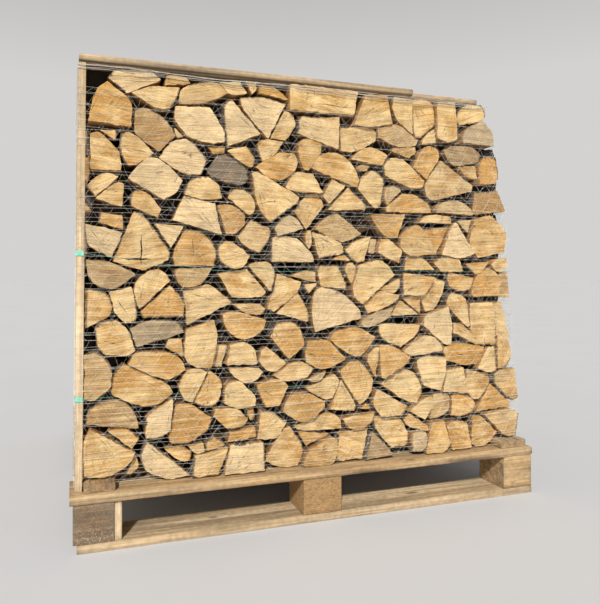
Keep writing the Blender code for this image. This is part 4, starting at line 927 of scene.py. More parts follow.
PALE_TONE = 0.0
ORANGE_TONE = 0.88


def as_built(measured):
    """The place in the model of a point that was measured on the front, in centimetres."""
    x = (measured[0] * MEASURED_SPREAD + MEASURED_SHIFT_CM[0]) / 100 + cad_low.x
    z = (measured[1] * MEASURED_SPREAD + MEASURED_SHIFT_CM[1]) / 100 + DECK_TOP
    return Vector((x, z))


def chance_checks(outline, heart, dice):
    """A few checks that start near the heart and point away from it."""
    found = []
    for _ in range(dice.choice((0, 1, 1, 2, 2, 3))):
        target = outline[dice.randrange(len(outline))].lerp(middle_of(outline), dice.uniform(0.0, 0.6))
        start = heart.lerp(target, dice.uniform(0.12, 0.45))
        stop = heart.lerp(target, dice.uniform(0.6, 0.9))
        clear = inside(start, outline) and inside(stop, outline)
        if clear and (stop - start).length > SHORTEST_CHECK:
            found.append((start, stop, dice.uniform(0.00025, 0.0006), dice.uniform(0.004, 0.009)))
    return found


def shrunk(outline, share):
    """The outline drawn in towards its middle."""
    middle = middle_of(outline)
    return [middle.lerp(place, share) for place in outline]


def looks_by_chance(outline, seed):
    """The tint, greyness, bark, saw direction and checks of one log, by seeded chance."""
    dice = random.Random(seed)
    wood = {"seed": seed, "tone": dice.triangular(0.0, 0.9, 0.32), "grey": 0.0, "dirt_and_shade": 0.0}
    wood["bark"] = dice.random() < BARK_SHARE
    wood["saw"] = dice.gauss(0.02, 0.18)
    if dice.random() < GREY_SHARE:
        wood["grey"] = dice.uniform(0.1, 0.38)
    wood["checks"] = chance_checks(shrunk(outline, 0.9), heart_of(outline, random.Random(seed)), dice)
    return wood


def looks_by_hand(outline, seed):
    """The looks of one log of the front: by chance, unless its place is in a list above."""
    wood = looks_by_chance(outline, seed)
    middle = middle_of(outline)

    def is_at(measured):
        """Whether the log lies at a measured place."""
        return (as_built(measured) - middle).length < NEAR

    for measured, grey in GREY_LOGS.items():
        if is_at(measured):
            wood["grey"] = grey
    if any(is_at(measured) for measured in PALE_LOGS):
        wood["tone"] = PALE_TONE
    if any(is_at(measured) for measured in ORANGE_LOGS):
        wood["tone"] = ORANGE_TONE
    for measured, checks in MARKED_CHECKS.items():
        if is_at(measured):
            wood["checks"] = [(as_built(a), as_built(b), width, MARKED_DEPTH) for a, b, width in checks]
    return wood


print("logs with looks chosen by hand:", len(GREY_LOGS) + len(PALE_LOGS) + len(ORANGE_LOGS))

# %% [markdown]
# ## Sticks between the logs
# Thin sticks, bark and splinters fall between the logs of a real stack, so no light comes through it.
# They could be strewn by chance, but most would end up inside logs. Here the room between the
# outlines is cut into triangles, and each narrow one gets a small broken stick, set back from the
# log ends and darkened by bark and painted shade. A few logs with painted shade that lie deeper fill
# the dark corners, and a pale one fills a notch on the right.

# %% Find the gaps and fill them with sticks
LONGEST_GAP = 0.070
THINNEST_GAP = 0.0012
STICK_START = (0.042, 0.105)
STICK_SHORTER = (0.004, 0.03)
STICK_LOOKS = {"tone": 0.7, "grey": 0.25, "rim": NO_BARK_NEAR}
BARK_STICK_SHARE = 0.7
# The sticks are darkened with painted shade through the check fact, most of all at their broken tips.
BROKEN_TIP = {"length": 0.045, "uneven": 0.012, "dirt_and_shade": 0.82}
BEHIND_TIP = {"uneven": 0.02, "dirt_and_shade": 0.22}


def gap_triangles(outlines):
    """Triangles between the outlines of a row that are narrow enough to hold a stick."""
    points = []
    faces = []
    for outline in outlines:
        faces.append(list(range(len(points), len(points) + len(outline))))
        points += outline
    filled = delaunay_2d_cdt(points, [], faces, 0, 1e-6)
    gaps = []
    for corners, logs in zip(filled[2], filled[5]):
        triangle = [filled[0][index] for index in corners]
        if area_of(triangle) < 0:
            triangle.reverse()
        longest = max((a - b).length for a, b in sides_of(triangle))
        if not logs and longest < LONGEST_GAP and 2 * area_of(triangle) / longest > THINNEST_GAP:
            gaps.append(triangle)
    return gaps


def add_stick(heap, triangle, front_y, facing, length, dice):
    """Add one broken stick behind the log ends."""
    shift = dice.uniform(0.0, MOST_GRAIN_SHIFT)
    bark = 1.0 if dice.random() < BARK_STICK_SHARE else 0.0
    start = dice.uniform(*STICK_START)
    stop = length - dice.uniform(*STICK_SHORTER)
    stations = (
        (start, BROKEN_TIP["uneven"], BROKEN_TIP["dirt_and_shade"]),
        (start + BROKEN_TIP["length"], BEHIND_TIP["uneven"], BEHIND_TIP["dirt_and_shade"]),
        (stop, 0.0, BEHIND_TIP["dirt_and_shade"]),
    )
    rings = []
    for depth, uneven, dirt_and_shade in stations:
        numbers = []
        for place in triangle:
            y = front_y - facing * (depth + dice.uniform(0.0, uneven))
            facts = STICK_LOOKS | {"grain": (place.x, y + shift, place.y), "bark": bark, "check": dirt_and_shade}
            numbers.append(heap.point((place.x, y, place.y), **facts))
        rings.append(numbers)
    heap.face(tuple(rings[0]), 1, facing)
    heap.face(tuple(reversed(rings[-1])), 1, facing)
    for near, far in zip(rings, rings[1:]):
        for (a, b), (c, d) in zip(sides_of(near), sides_of(far)):
            heap.face((a, c, d, b), 1, facing)


front_gaps = gap_triangles([outline for outline, _ in front_ends])
print("gaps in the front row:", len(front_gaps))

# %% [markdown]
# ## Stacking the rows
# The front row shows most, so its logs are made finely, and so are those of the back row, which a
# viewer meets when walking round. The logs along the sides and the top show their whole length, and
# get more rings to be bent, torn and tapered by. The middle row shows only such logs. Its hidden
# ones are made plainly from the front row's outlines, seen from the other side.

# %% Tell which logs show their sides
LOG_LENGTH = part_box("logs_front_row")[1].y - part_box("logs_front_row")[0].y
STACK_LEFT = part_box("logs_front_row")[0].x
STACK_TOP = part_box("logs_front_row")[1].z
LEFT_MARGIN = 0.02
RIGHT_MARGIN = 0.03
TOP_MARGIN = 0.05


def right_side():
    """How far right the stack reaches, at each centimetre above the deck."""
    found = {}
    for node in ("logs_front_row", "logs_middle_row", "logs_back_row"):
        for vertex in nodes[node].data.vertices:
            height = round((vertex.co.z - DECK_TOP) * 100)
            found[height] = max(found.get(height, -1.0), vertex.co.x)
    return found


RIGHT_SIDE = right_side()


def right_edge(height, window=0.03):
    """The right side of the stack near a height above the deck, in metres."""
    centre = round(height * 100)
    reach = round(window * 100)
    near = [RIGHT_SIDE[step] for step in range(centre - reach, centre + reach + 1) if step in RIGHT_SIDE]
    return max(near, default=RIGHT_SIDE[max(RIGHT_SIDE)])


def shows_side(outline):
    """Whether a log lies along the left side, the right side or the top of the stack."""
    across = [place.x for place in outline]
    top = max(place.y for place in outline)
    height = middle_of(outline).y - DECK_TOP
    left_rim = min(across) < STACK_LEFT + LEFT_MARGIN
    right_rim = max(across) > right_edge(height) - RIGHT_MARGIN
    return left_rim or right_rim or top > STACK_TOP - TOP_MARGIN


print("stack's left side at", round(STACK_LEFT, 3), "and its top at", round(STACK_TOP, 3))

# %% Stack the front and back rows
LENGTH_STEP = 0.001
LENGTH_STEPS = 9
HIDDEN_INSET = 0.01


def single_logs(row):
    """The names of the logs of a row that are solids of their own."""
    return sorted(name for name in nodes if name.startswith(f"log_{row}_"))


def stack_single_logs(row, facing, seed, choose_looks):
    """Make a mesh for each log of a row that is a solid of its own, and return their outlines."""
    outlines = []
    for number, single in enumerate(single_logs(row)):
        heap = Heap()
        low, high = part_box(single)
        outline, end_y = log_ends(single, facing)[0]
        add_log(heap, outline, end_y, facing, high.y - low.y, choose_looks(outline, seed + number), FINE)
        made = heap.piece(f"fire{single}", LOG_MATERIALS, LOG_SMOOTH)
        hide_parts(single)
        outlines.append(outline)
    return outlines


def add_sticks(heap, outlines, front_y, facing, seed):
    """Add a stick in each gap between the outlines of a row."""
    dice = random.Random(seed)
    for triangle in gap_triangles(outlines):
        add_stick(heap, triangle, front_y, facing, LOG_LENGTH, dice)


def stack_row(row, facing, seed, choose_looks):
    """Dress one row: a mesh for each log of its own, and a joined mesh for its solid and the sticks."""
    node = f"logs_{row}_row"
    heap = Heap()
    low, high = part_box(node)
    outermost = low.y if facing < 0 else high.y
    outlines = []
    for number, (outline, end_y) in enumerate(log_ends(node, facing)):
        wood = choose_looks(outline, seed + number)
        length = LOG_LENGTH - abs(end_y - outermost) - LENGTH_STEP * (number % LENGTH_STEPS)
        detail = SHOWN if shows_side(outline) else FINE
        add_log(heap, outline, end_y, facing, length, wood, detail)
        outlines.append(outline)
    outlines += stack_single_logs(row, facing, seed + 500, choose_looks)
    add_sticks(heap, outlines, outermost, facing, seed)
    made = heap.piece(f"firewood_{row}_row", LOG_MATERIALS, LOG_SMOOTH)
    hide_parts(node)
    return outlines


front_outlines = stack_row("front", -1, 1000, looks_by_hand)
stack_row("back", 1, 3000, looks_by_chance)

# %% Fill the dark corners at the top and on the right
DARK_LOGS = (
    ((3.1, 83.0), (6.4, 86.2), (9.6, 88.6), (8.6, 91.1), (3.1, 91.1)),
    ((18.0, 88.2), (21.4, 88.2), (21.6, 91.2), (18.2, 91.2)),
    ((27.0, 88.6), (34.0, 88.0), (35.0, 89.6), (28.0, 90.8)),
    ((100.5, 88.4), (104.5, 87.2), (105.0, 89.0), (101.0, 90.2)),
    ((103.0, 76.6), (111.0, 76.4), (111.6, 78.5), (111.2, 80.6), (103.0, 80.4)),
    ((103.1, 67.9), (112.4, 68.3), (112.4, 71.9), (103.1, 71.5)),
    ((104.0, 61.4), (108.5, 59.8), (112.6, 60.4), (112.0, 62.6), (104.4, 63.2)),
    ((104.4, 49.7), (113.0, 49.8), (113.2, 52.3), (104.4, 52.3)),
    ((104.6, 38.0), (112.6, 38.0), (112.9, 39.9), (104.6, 40.0)),
)
DARK_SET_BACK = 0.050
# The set-back logs get painted shade near their front ends.
DARK_LOOKS = {"tone": 0.9, "grey": 0.3, "bark": True, "dirt_and_shade": 0.42, "saw": 0.0, "checks": []}
PALE_RIM_LOG = ((110.0, 47.0), (112.8, 46.8), (113.4, 39.9), (110.0, 39.9))
PALE_SET_BACK = 0.012
PALE_LOOKS = DARK_LOOKS | {"tone": 0.3, "bark": False, "dirt_and_shade": 0.0}


def add_set_back_log(heap, corners, set_back, wood):
    """Add a log that lies deeper than the log ends round it."""
    outline = [as_built(corner) for corner in corners]
    front_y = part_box("logs_front_row")[0].y + set_back
    add_log(heap, outline, front_y, -1, LOG_LENGTH - set_back - HIDDEN_INSET, wood, FINE)


def fill_dark_corners():
    """Logs with bark, darkened by painted shade, where no log end reaches the front, and one pale one on the
    right.
    """
    heap = Heap()
    for number, corners in enumerate(DARK_LOGS):
        add_set_back_log(heap, corners, DARK_SET_BACK, DARK_LOOKS | {"seed": 9000 + number})
    add_set_back_log(heap, PALE_RIM_LOG, PALE_SET_BACK, PALE_LOOKS | {"seed": 9100})
    heap.piece("set_back_firewood", LOG_MATERIALS, LOG_SMOOTH)


fill_dark_corners()

# %% Stack the middle row
SAME_LOG = 0.030
RIM_SHORTER = 0.004


def facing_the_other_way(outline):
    """The same outline, counted from the other side of the stack."""
    turned = []
    for place in reversed(outline):
        width = right_edge(place.y - DECK_TOP) - STACK_LEFT
        turned.append(Vector((STACK_LEFT + width - (place.x - STACK_LEFT), place.y)))
    return turned


def stack_middle_row(seed):
    """Dress the middle row: finely made rim logs round plainly made hidden ones."""
    node = "logs_middle_row"
    front_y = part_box(node)[0].y
    heap = Heap()
    outlines = []
    for number, (outline, end_y) in enumerate(log_ends(node, -1)):
        wood = looks_by_chance(outline, seed + number)
        add_log(heap, outline, end_y, -1, LOG_LENGTH - (end_y - front_y) - RIM_SHORTER, wood, SHOWN)
        outlines.append(outline)
    rim_middles = [middle_of(outline) for outline in outlines]
    for number, outline in enumerate(front_outlines):
        turned = facing_the_other_way(outline)
        middle = middle_of(turned)
        if all((middle - rim_middle).length > SAME_LOG for rim_middle in rim_middles):
            wood = looks_by_chance(turned, seed + 300 + number) | {"checks": []}
            detail = SHOWN if shows_side(turned) else PLAIN
            add_log(heap, turned, front_y + HIDDEN_INSET, -1, LOG_LENGTH - 2 * HIDDEN_INSET, wood, detail)
            outlines.append(turned)
    add_sticks(heap, outlines, front_y, -1, seed)
    made = heap.piece("firewood_middle_row", LOG_MATERIALS, LOG_SMOOTH)
    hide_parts(node)


stack_middle_row(5000)

# %% [markdown]
# ## Boards and blocks
# Pallet boards are sawn softwood: straight grain along the board, a few knots, edges that are bruised
# and slightly rounded, and ends that show the saw. Each board is lofted along its length from a
# section with soft corners, and noise wears its edges unevenly. A bevel on a box would give edges
# that are too clean.

# %% Mix pallet wood
BOARD_LIGHT = paint(202, 172, 128)
BOARD_DARK = paint(154, 118, 76)
BOARD_OLD = paint(120, 106, 88)
KNOT = paint(84, 54, 32)
FROST = paint(206, 200, 188)


def frosted(recipe, grain, color, frost):
    """Mix pale specks into a colour, more of them low down than near the top."""
    parts = recipe.tree.nodes.new("ShaderNodeSeparateXYZ")
    recipe.feed(parts.inputs[0], grain)
    splashed = recipe.span(parts.outputs["Z"], -0.036, -0.006, frost, 0.35 * frost)
    specks = recipe.number("MULTIPLY", recipe.span(recipe.noise(grain, 470.0, 3.0), 0.55, 0.66), splashed)
    return recipe.mix(specks, color, FROST)


def sawn_board(name, light, dark, frost=0.0):
    """Sawn softwood whose grain runs along the first axis of its grain fact; frost adds pale specks."""
    recipe = Recipe(name, 0.86)
    grain = recipe.fact("grain", "Vector")
    knots = recipe.cells(recipe.vector("MULTIPLY", grain, (5.0, 16.0, 16.0)), 1.0, "Distance")
    swirl = recipe.number("MULTIPLY", recipe.span(knots, 0.05, 0.30, 1.0, 0.0), 3.0)
    bent = recipe.vector("ADD", recipe.vector("MULTIPLY", grain, (4.0, 170.0, 170.0)), swirl)
    lines = recipe.noise(bent, 1.0, 4.0)
    bands = recipe.stretched(grain, (1.6, 48.0, 48.0), 3.0)
    fine = recipe.stretched(grain, (9.0, 520.0, 520.0), 3.0)
    tint = recipe.number("ADD", recipe.fact("tone"), recipe.span(bands, 0.3, 0.7, -0.60, 0.60))
    color = recipe.mix(recipe.span(tint, 0.0, 1.0), light, dark)
    color = recipe.shade(color, lines, 0.28, 0.72, 0.66, 1.18)
    color = recipe.shade(color, fine, 0.3, 0.7, 0.80, 1.14)
    color = recipe.mix(recipe.span(knots, 0.045, 0.11, 0.9, 0.0), color, KNOT)

    stain = recipe.stretched(grain, (3.0, 60.0, 60.0), 5.0)
    old = recipe.number("ADD", recipe.fact("grey"), recipe.span(stain, 0.42, 0.68, -0.14, 0.52))
    weathered = recipe.shade(BOARD_OLD, lines, 0.3, 0.7, 0.65, 1.28)
    color = recipe.mix(recipe.span(old, 0.0, 1.0, 0.0, 0.85), color, weathered)
    dirt_and_shade = recipe.noise(grain, 85.0, 5.0)
    color = recipe.shade(color, dirt_and_shade, 0.25, 0.65, 0.74, 1.05)
    color = frosted(recipe, grain, color, frost)
    streaked_bark = recipe.shade(BARK_DARK, lines, 0.3, 0.7, 0.7, 1.5)
    color = recipe.mix(recipe.fact("bark"), color, streaked_bark)
    height = recipe.number("ADD", lines, recipe.number("MULTIPLY", dirt_and_shade, 0.7))
    return recipe.finish(color, height, 0.0015)


def pressed_chips():
    """Blocks pressed from wood chips: flakes of many tans, glued at all angles."""
    recipe = Recipe("pressed_chips", 0.9)
    grain = recipe.fact("grain", "Vector")
    wobble = recipe.noise(grain, 240.0, 2.0)
    flat = recipe.vector("MULTIPLY", grain, (230.0, 380.0, 520.0))
    flakes = recipe.vector("LENGTH", recipe.cells(recipe.vector("ADD", flat, wobble), 1.0))
    small = recipe.noise(grain, 900.0, 2.0)
    cloud = recipe.noise(grain, 32.0, 3.0)
    color = recipe.mix(recipe.span(flakes, 0.3, 1.5), paint(140, 106, 68), paint(186, 150, 102))
    color = recipe.shade(color, small, 0.3, 0.7, 0.82, 1.10)
    color = recipe.shade(color, cloud, 0.3, 0.7, 0.86, 1.06)
    return recipe.finish(color, recipe.number("ADD", flakes, small), 0.0009)


FRESH_BOARD = sawn_board("fresh_pallet_board", BOARD_LIGHT, BOARD_DARK)
PALE_BOARD = sawn_board("pale_pallet_board", paint(226, 200, 161), paint(194, 164, 122))
FRESH_BLOCK = sawn_board("fresh_sawn_block", paint(206, 172, 124), paint(158, 124, 80))
OLD_BLOCK = sawn_board("weathered_block", paint(144, 113, 76), paint(92, 70, 45), 0.58)
PRESSED_CHIPS = pressed_chips()
print("mixed", FRESH_BOARD.name, PALE_BOARD.name, FRESH_BLOCK.name, OLD_BLOCK.name, PRESSED_CHIPS.name)

# %% Loft a board along its length
STATION_GAP = 0.016
SECTION_GAP = 0.011
SOFT_CORNER = 0.0015
WEAR = 0.0013
DENT = 0.0055
DENT_FROM = 0.34
EDGE = 0.003
FLAT_DENT_SHARE = 0.12
END_DRAWN_IN = 0.0007
END_GREY = 0.35
WANE = 0.0085
WANE_STEPS = ((1.3, 0.0), (0.45, 0.22), (0.10, 0.60), (0.0, 1.0))
WANE_BARK = 0.8
STREAK_BAND = 0.002
MOST_STREAK = 0.75
BOARD_SMOOTH = math.radians(50)


def waney_section(width, height):
    """Points round the section of a plank whose two lower edges are the rounded edge of the trunk."""
    across, up = width / 2, height / 2
    right = [Vector((across - WANE * side, -up + WANE * rise)) for side, rise in WANE_STEPS]
    left = [Vector((-place.x, place.y)) for place in reversed(right)]
    count = round(width / SECTION_GAP)
    corner = Vector((across - SOFT_CORNER, up))
    top = [corner.lerp(Vector((-corner.x, up)), step / count) for step in range(count + 1)]
    bottom = [left[-1].lerp(right[0], step / count) for step in range(1, count)]
    return right + top + left + bottom


def section_points(width, height):
    """Points round a board's section, with soft corners."""
    across, up = width / 2, height / 2
    inner_across, inner_up = across - SOFT_CORNER, up - SOFT_CORNER
    corners = (
        (Vector((inner_across, -up)), Vector((across, -inner_up))),
        (Vector((across, inner_up)), Vector((inner_across, up))),
        (Vector((-inner_across, up)), Vector((-across, inner_up))),
        (Vector((-across, -inner_up)), Vector((-inner_across, -up))),
    )
    points = []
    for (first, second), (stop, _) in sides_of(corners):
        count = max(1, round((stop - second).length / SECTION_GAP))
        points.append(first)
        points += [second.lerp(stop, step / count) for step in range(count)]
    return points


def add_board(heap, low, high, along, lean, looks, seed, waney=False, streaked=False):
    """Add one worn board between two corners; lean moves its top sideways."""
    second, third = ((1, 2), (2, 0), (0, 1))[along]
    size = high - low
    middle = (low + high) / 2
    half_across, half_up = size[second] / 2, size[third] / 2
    section = (waney_section if waney else section_points)(size[second], size[third])
    count = max(4, round(size[along] / STATION_GAP))
    shift = seed * 1.7
    tone, grey = looks

    def bark_at(reach, share, flat):
        """How much bark shows: along the lower edges of a plank, or in streaks along a board."""
        if waney and flat.y < -half_up + WANE * 0.4 and abs(flat.x) > half_across - WANE * 1.2:
            return WANE_BARK
        if streaked and share > 0.5 and flat.x < STREAK_BAND - half_across and flat.y < 0:
            return min(MOST_STREAK, max(0.0, 0.25 + 1.3 * waver(reach * 9, 0.0, shift)))
        return 0.0

    def surface(share, flat):
        """Add a point of the worn surface, and return its number."""
        reach = (share - 0.5) * size[along]
        rough = waver(reach * 30, flat.x * 60, flat.y * 60 + shift)
        dent = max(0.0, waver(reach * 9, flat.x * 25 + shift, flat.y * 25) - DENT_FROM)
        at_corner = abs(flat.x) > half_across - EDGE and abs(flat.y) > half_up - EDGE
        drawn_in = WEAR * max(0.0, rough) + DENT * dent * (1.0 if at_corner else FLAT_DENT_SHARE)
        worn = flat - flat.normalized() * drawn_in
        place = Vector((0.0, 0.0, 0.0))
        place[along], place[second], place[third] = reach, worn.x, worn.y
        place += middle
        place.x += lean * ((place.z - low.z) / size.z - 0.5)
        aged = grey + (END_GREY if share in (0.0, 1.0) else 0.0)
        grain = (reach + shift, flat.x + shift, flat.y)
        return heap.point(place, grain=grain, tone=tone, grey=aged, bark=bark_at(reach, share, flat))

    rings = []
    for station in range(count + 1):
        share = station / count
        inset = END_DRAWN_IN if station in (0, count) else 0.0
        rings.append([surface(share, flat - flat.normalized() * inset) for flat in section])
    for near, far in zip(rings, rings[1:]):
        heap.band(near, far)
    for ring, share, facing in ((rings[0], 0.0, -1), (rings[-1], 1.0, 1)):
        hub = surface(share, Vector((0.0, 1e-6)))
        for a, b in sides_of(ring):
            heap.face((b, a, hub), 0, facing)


print("a board 1.2 m long has", round(1.2 / STATION_GAP), "stations")

# %% [markdown]
# ## Which board is which
# Every board, rail, post and plank of the CAD model is dressed by the same loft, with its own tint
# and greyness. The lead board is fresh, the left blocks and the top planks are weathered, and the
# middle blocks are pressed chips. Three deck boards and the back lead board are made a centimetre
# shorter on the left, because no board end shows beside the post.

# %% Dress the pallet, the posts and the planks
ALONG_X, ALONG_Y, ALONG_Z = 0, 1, 2
BOARD_LOOKS = {
    "lead_board_front": (0.22, 0.12),
    "lead_board_back": (0.25, 0.05),
    "deck_board_front": (0.40, 0.10),
    "deck_board_middle": (0.35, 0.10),
    "deck_board_back": (0.30, 0.12),
    "bottom_board_front": (0.50, 0.26),
    "bottom_board_middle": (0.35, 0.20),
    "bottom_board_back": (0.30, 0.18),
    "side_strip": (0.05, 0.00),
    "plank_front_left": (0.45, 0.30),
    "plank_front_right": (0.45, 0.28),
    "plank_middle": (0.20, 0.40),
    "plank_back": (0.25, 0.40),
}
RAIL_LOOKS = {"rail_left": (0.75, 0.05), "rail_right": (0.20, 0.10)}
POST_LOOKS = {"post_front": (0.15, 0.05), "post_back": (0.30, 0.12)}
BLOCK_LOOKS = {"left": (0.50, 0.30), "middle": (0.4, 0.0), "right": (0.20, 0.05)}
BLOCK_MATERIALS = {"left": OLD_BLOCK, "middle": PRESSED_CHIPS, "right": FRESH_BLOCK}
PALE_NODES = ("side_strip", "bottom_board_front", "plank_front_left", "plank_front_right")
CUT_SHORT = ("deck_board_front", "deck_board_middle", "deck_board_back", "lead_board_back")
CUT_SHORT_BY = 0.0095
POST_THICKNESS = 0.0165


def dress_board(node, along, looks, material, seed, lean=0.0):
    """Make one worn board in the place of a CAD node."""
    low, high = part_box(node)
    low, high = low.copy(), high.copy()
    if lean:
        low.x += lean / 2
        high.x -= lean / 2
    if node in CUT_SHORT:
        low.x += CUT_SHORT_BY
    heap = Heap()
    add_board(heap, low, high, along, lean, looks, seed, node.startswith("plank"), node == "lead_board_front")
    made = heap.piece(f"dressed_{node}", [material], BOARD_SMOOTH)
    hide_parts(node)


def lean_of(post):
    """How far a post's top stands to one side of its foot."""
    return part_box(post)[1].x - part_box(post)[0].x - POST_THICKNESS


for seed, (node, looks) in enumerate(BOARD_LOOKS.items(), 1):
    material = PALE_BOARD if node in PALE_NODES else FRESH_BOARD
    dress_board(node, ALONG_Z if node == "side_strip" else ALONG_X, looks, material, seed)
for seed, (node, looks) in enumerate(RAIL_LOOKS.items(), 31):
    dress_board(node, ALONG_Y, looks, FRESH_BOARD, seed)
for seed, (node, looks) in enumerate(POST_LOOKS.items(), 41):
    dress_board(node, ALONG_Z, looks, PALE_BOARD, seed, lean_of(node))
for row_seed, row in enumerate(("front", "middle", "back")):
    for seed, (column, looks) in enumerate(BLOCK_LOOKS.items(), 51 + 3 * row_seed):
        dress_board(f"block_{row}_{column}", ALONG_X, looks, BLOCK_MATERIALS[column], seed, 0.0)

# %% [markdown]
# ## The net
# A knitted net holds the logs. Its level strands are wound round the whole stack and pulled tight, so
# they bridge from one log to the next and only touch the ends that stand out most. Thin links run
# zigzag between them. A flat sheet with holes in its material would slide through the logs, so each
# strand is a real thread, laid over a height map of the log ends. Two turns lie over each other,
# small ties thicken some crossings, and a hem of close strands runs along under the planks.

# %% Map how far the log ends stand out
CELL = 0.01
LEAST_REACH = 0.44
NET_CLEARANCE = 0.003
NET_STIFFNESS = 4


def relief(rows, facing):
    """Grid of how far out the stack reaches at each place, seen from the front or the back."""
    columns = int((cad_high.x - cad_low.x) / CELL) + 2
    lines = int((cad_high.z - DECK_TOP) / CELL) + 2
    reach = np.full((columns, lines), LEAST_REACH)
    for node in rows:
        for outline, end_y in log_ends(node, facing):
            steps = [((place.x - cad_low.x) / CELL, (place.y - DECK_TOP) / CELL) for place in outline]
            first_column, first_line = (max(0, int(min(numbers))) for numbers in zip(*steps))
            last_column, last_line = (int(max(numbers)) + 2 for numbers in zip(*steps))
            covered = reach[first_column:last_column, first_line:last_line]
            np.maximum(covered, abs(end_y) + NET_CLEARANCE, out=covered)
    return reach


def three_shifts(grid, axis):
    """The grid moved back by one cell along an axis, as it is, and moved on by one cell."""
    cells = grid.shape[axis]
    padded = np.pad(grid, [(1, 1) if each == axis else (0, 0) for each in (0, 1)], mode="edge")
    return [padded.take(range(first, first + cells), axis) for first in (0, 1, 2)]


def widened(grid):
    """Each cell takes the largest value near it, and then the average, as a tight net does."""
    for _ in range(NET_STIFFNESS):
        for axis in (0, 1):
            grid = np.max(three_shifts(grid, axis), axis=0)
    for _ in range(NET_STIFFNESS):
        grid = np.mean(three_shifts(grid, 0), axis=0)
    return grid


front_relief = widened(relief(["logs_front_row"] + single_logs("front"), -1))
back_relief = widened(relief(["logs_back_row"] + single_logs("back"), 1))
print("net stands between", round(front_relief.min(), 3), "and", round(front_relief.max(), 3), "m out")

# %% Mix the yarn of the net
def net_yarn(name, light, dark):
    """Shiny plastic yarn with streaks along it."""
    recipe = Recipe(name, 0.42)
    place = recipe.tree.nodes.new("ShaderNodeTexCoord").outputs["Object"]
    streaks = recipe.noise(place, 220.0, 2.0)
    color = recipe.mix(recipe.span(streaks, 0.3, 0.7), light, dark)
    return recipe.finish(color, streaks, 0.0002)


WHITE_YARN = net_yarn("white_net_yarn", paint(232, 229, 220), paint(206, 203, 194))
MINT_YARN = net_yarn("mint_net_yarn", paint(158, 226, 205), paint(108, 190, 172))
print("mixed", WHITE_YARN.name, MINT_YARN.name)

# %% Say where one strand of the net runs
STRAND_POINT_GAP = 0.0150
SIDE_STEPS = 32
SLOW_WAVE = 0.0045
RIPPLE = 0.0022
LAYER_GAP = 0.0004
BESIDE_LOGS = 0.0012
MARKERS = ((0.517, 0.038), (0.201, 0.0))
MARKER_SLOPE_END = 0.30
POST_LEAN = lean_of("post_front")
POST_HEIGHT = 0.93


def strand_wave(x, layer, height):
    """A slow rise and fall of a strand, with a small ripple."""
    slow = SLOW_WAVE * waver(x * 3.0, height * 9.0, layer * 7.3)
    return slow + RIPPLE * waver(x * 24.0, height * 50.0, layer * 3.1)


def out_at(x, height, side):
    """How far out the net stands in front of the log ends (-1) or behind them (+1)."""
    grid = front_relief if side < 0 else back_relief
    i = min(max(int((x - cad_low.x) / CELL), 0), grid.shape[0] - 1)
    k = min(max(int(height / CELL), 0), grid.shape[1] - 1)
    return grid[i, k]


def left_of_posts(height):
    """Where the net runs past the leaning posts at a height above the deck."""
    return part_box("net")[0].x + POST_LEAN * height / POST_HEIGHT


def strand_points(height, layer, drop=0.0):
    """One strand round the stack at a height above the deck, as a closed run of points."""
    left = left_of_posts(height) + LAYER_GAP * layer
    right = right_edge(height, 0.02) + BESIDE_LOGS
    across = round((right - left) / STRAND_POINT_GAP)
    points = []
    for side, start, stop in ((-1, left, right), (1, right, left)):
        for step in range(across):
            x = start + (stop - start) * step / across
            fall = drop * min(1.0, (x - left) / MARKER_SLOPE_END)
            z = height - fall + strand_wave(x, layer, height)
            points.append(Vector((x, side * (out_at(x, z, side) + LAYER_GAP * layer), DECK_TOP + z)))
        reach = abs(points[-1].y)
        for step in range(SIDE_STEPS):
            y = -side * (-reach + 2 * reach * step / SIDE_STEPS)
            z = height - (drop if side < 0 else 0.0) + strand_wave(y + 2.0 * side, layer, height)
            points.append(Vector((stop, y, DECK_TOP + z)))
    return points


print("points round one strand:", len(strand_points(0.4, 0)))

# %% Make threads
STRAND_HALF = 0.00026
LINK_HALF = 0.00023
TIED_SHARE = 0.40
STAYS_SHARE = 0.25
TIE_TIPS = (
    (0.0014, 0.0, 0.0), (0.0, 0.0007, 0.0), (-0.0014, 0.0, 0.0), (0.0, -0.0007, 0.0),
    (0.0, 0.0, 0.0008), (0.0, 0.0, -0.0008),
)
MARKER_HALF = 0.00031
HEM_HALF = 0.00045


def add_thread(heap, points, half, slot, closed):
    """Add a thin three-sided thread through some points."""
    rings = []
    for index, place in enumerate(points):
        after = points[(index + 1) % len(points)] if closed or index + 1 < len(points) else place
        before = points[index - 1] if closed or index else place
        run = (after - before).normalized()
        up = Vector((0.0, 0.0, 1.0)) if abs(run.z) < 0.9 else Vector((0.0, 1.0, 0.0))
        side = run.cross(up).normalized()
        up = side.cross(run)
        turns = [turn * math.tau / 3 for turn in range(3)]
        rings.append([heap.point(place + half * (side * math.cos(a) + up * math.sin(a))) for a in turns])
    for near, far in zip(rings, rings[1:] + (rings[:1] if closed else [])):
        heap.band(near, far, slot)
    if not closed:
        heap.face(tuple(rings[0][::-1]), slot)
        heap.face(tuple(rings[-1]), slot)


def add_tie(heap, place, size):
    """Add the small lump of yarn where a link is knitted to a strand."""
    tips = [heap.point(place + size * Vector(direction)) for direction in TIE_TIPS]
    for a, b in sides_of(tips[:4]):
        heap.face((a, b, tips[4]))
        heap.face((b, a, tips[5]))


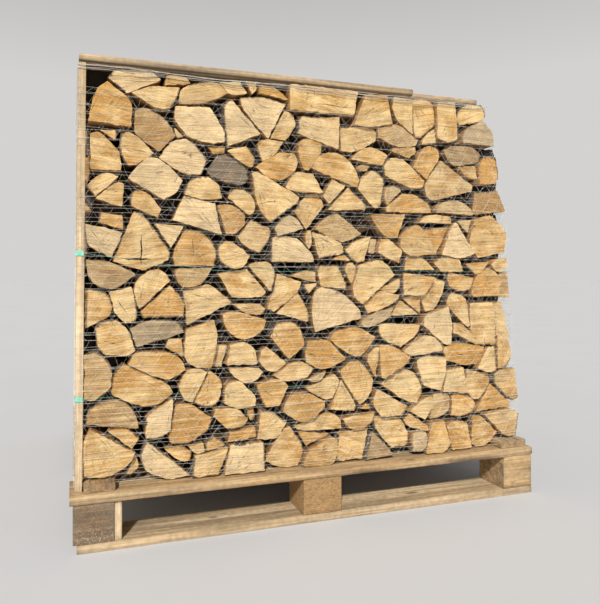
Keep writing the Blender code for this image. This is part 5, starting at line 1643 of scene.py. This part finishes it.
def add_links(heap, low_strand, high_strand, dice):
    """Add the loose zigzag thread that ties two neighbouring strands together."""
    zigzag = []
    strands = (low_strand, high_strand)
    side = 0
    for index in range(min(len(low_strand), len(high_strand)) - 1):
        if dice.random() > STAYS_SHARE:
            side = 1 - side
        tied_to = strands[side]
        zigzag.append(tied_to[index].lerp(tied_to[index + 1], dice.uniform(0.0, 0.65)))
        if dice.random() < TIED_SHARE:
            add_tie(heap, zigzag[-1], dice.uniform(0.7, 1.2))
    add_thread(heap, zigzag, LINK_HALF, 0, True)


# %% Wind the net round the stack twice
TURNS = {"knitted_net": (0.0185, 0.010, 0), "knitted_net_second_turn": (0.0250, 0.016, 1)}
NET_TOP = 0.890
UNEVEN_STRANDS = 0.0025
TOP_HEM = tuple(0.925 - 0.00028 * step * step for step in range(7))
POST_WRAPS = 5
WRAP_GAP = 0.0021
WRAP_HALF = 0.0011
WRAP_OUT = 0.0012
WRAP_END = 0.03


def wind_net(name, gap, start, layer):
    """Wind one turn of the net round the stack, from the deck up to the planks."""
    dice = random.Random(77 + layer)
    heap = Heap()
    strands = []
    for step in range(int((NET_TOP - start) / gap) + 1):
        height = start + gap * step + dice.uniform(-UNEVEN_STRANDS, UNEVEN_STRANDS)
        strands.append(strand_points(height, layer))
        add_thread(heap, strands[-1], STRAND_HALF, 0, True)
    for low_strand, high_strand in zip(strands, strands[1:]):
        add_links(heap, low_strand, high_strand, dice)
    if layer == 0:
        for height in TOP_HEM:
            add_thread(heap, strand_points(height, dice.uniform(0.0, 2.0)), HEM_HALF, 0, True)
        for height, drop in MARKERS:
            add_thread(heap, strand_points(height, 0.5, drop), MARKER_HALF, 1, True)
            add_post_wraps(heap, height)
    return heap.piece(name, [WHITE_YARN, MINT_YARN])


def add_post_wraps(heap, height):
    """Bunch some mint yarn round the front post, where the net was first tied."""
    low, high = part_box("post_front")
    left = left_of_posts(height)
    inner = min(left + POST_THICKNESS, high.x)
    for turn in range(POST_WRAPS):
        z = DECK_TOP + height + (turn - POST_WRAPS / 2) * WRAP_GAP
        corners = (
            Vector((inner, low.y - WRAP_OUT, z)),
            Vector((left - 0.0002, low.y - WRAP_OUT, z + 0.0008)),
            Vector((left - 0.0004, low.y + WRAP_END, z - 0.0006)),
        )
        add_thread(heap, corners, WRAP_HALF, 1, False)


for name, (gap, start, layer) in TURNS.items():
    net = wind_net(name, gap, start, layer)
    if name == "knitted_net":
        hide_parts("net")
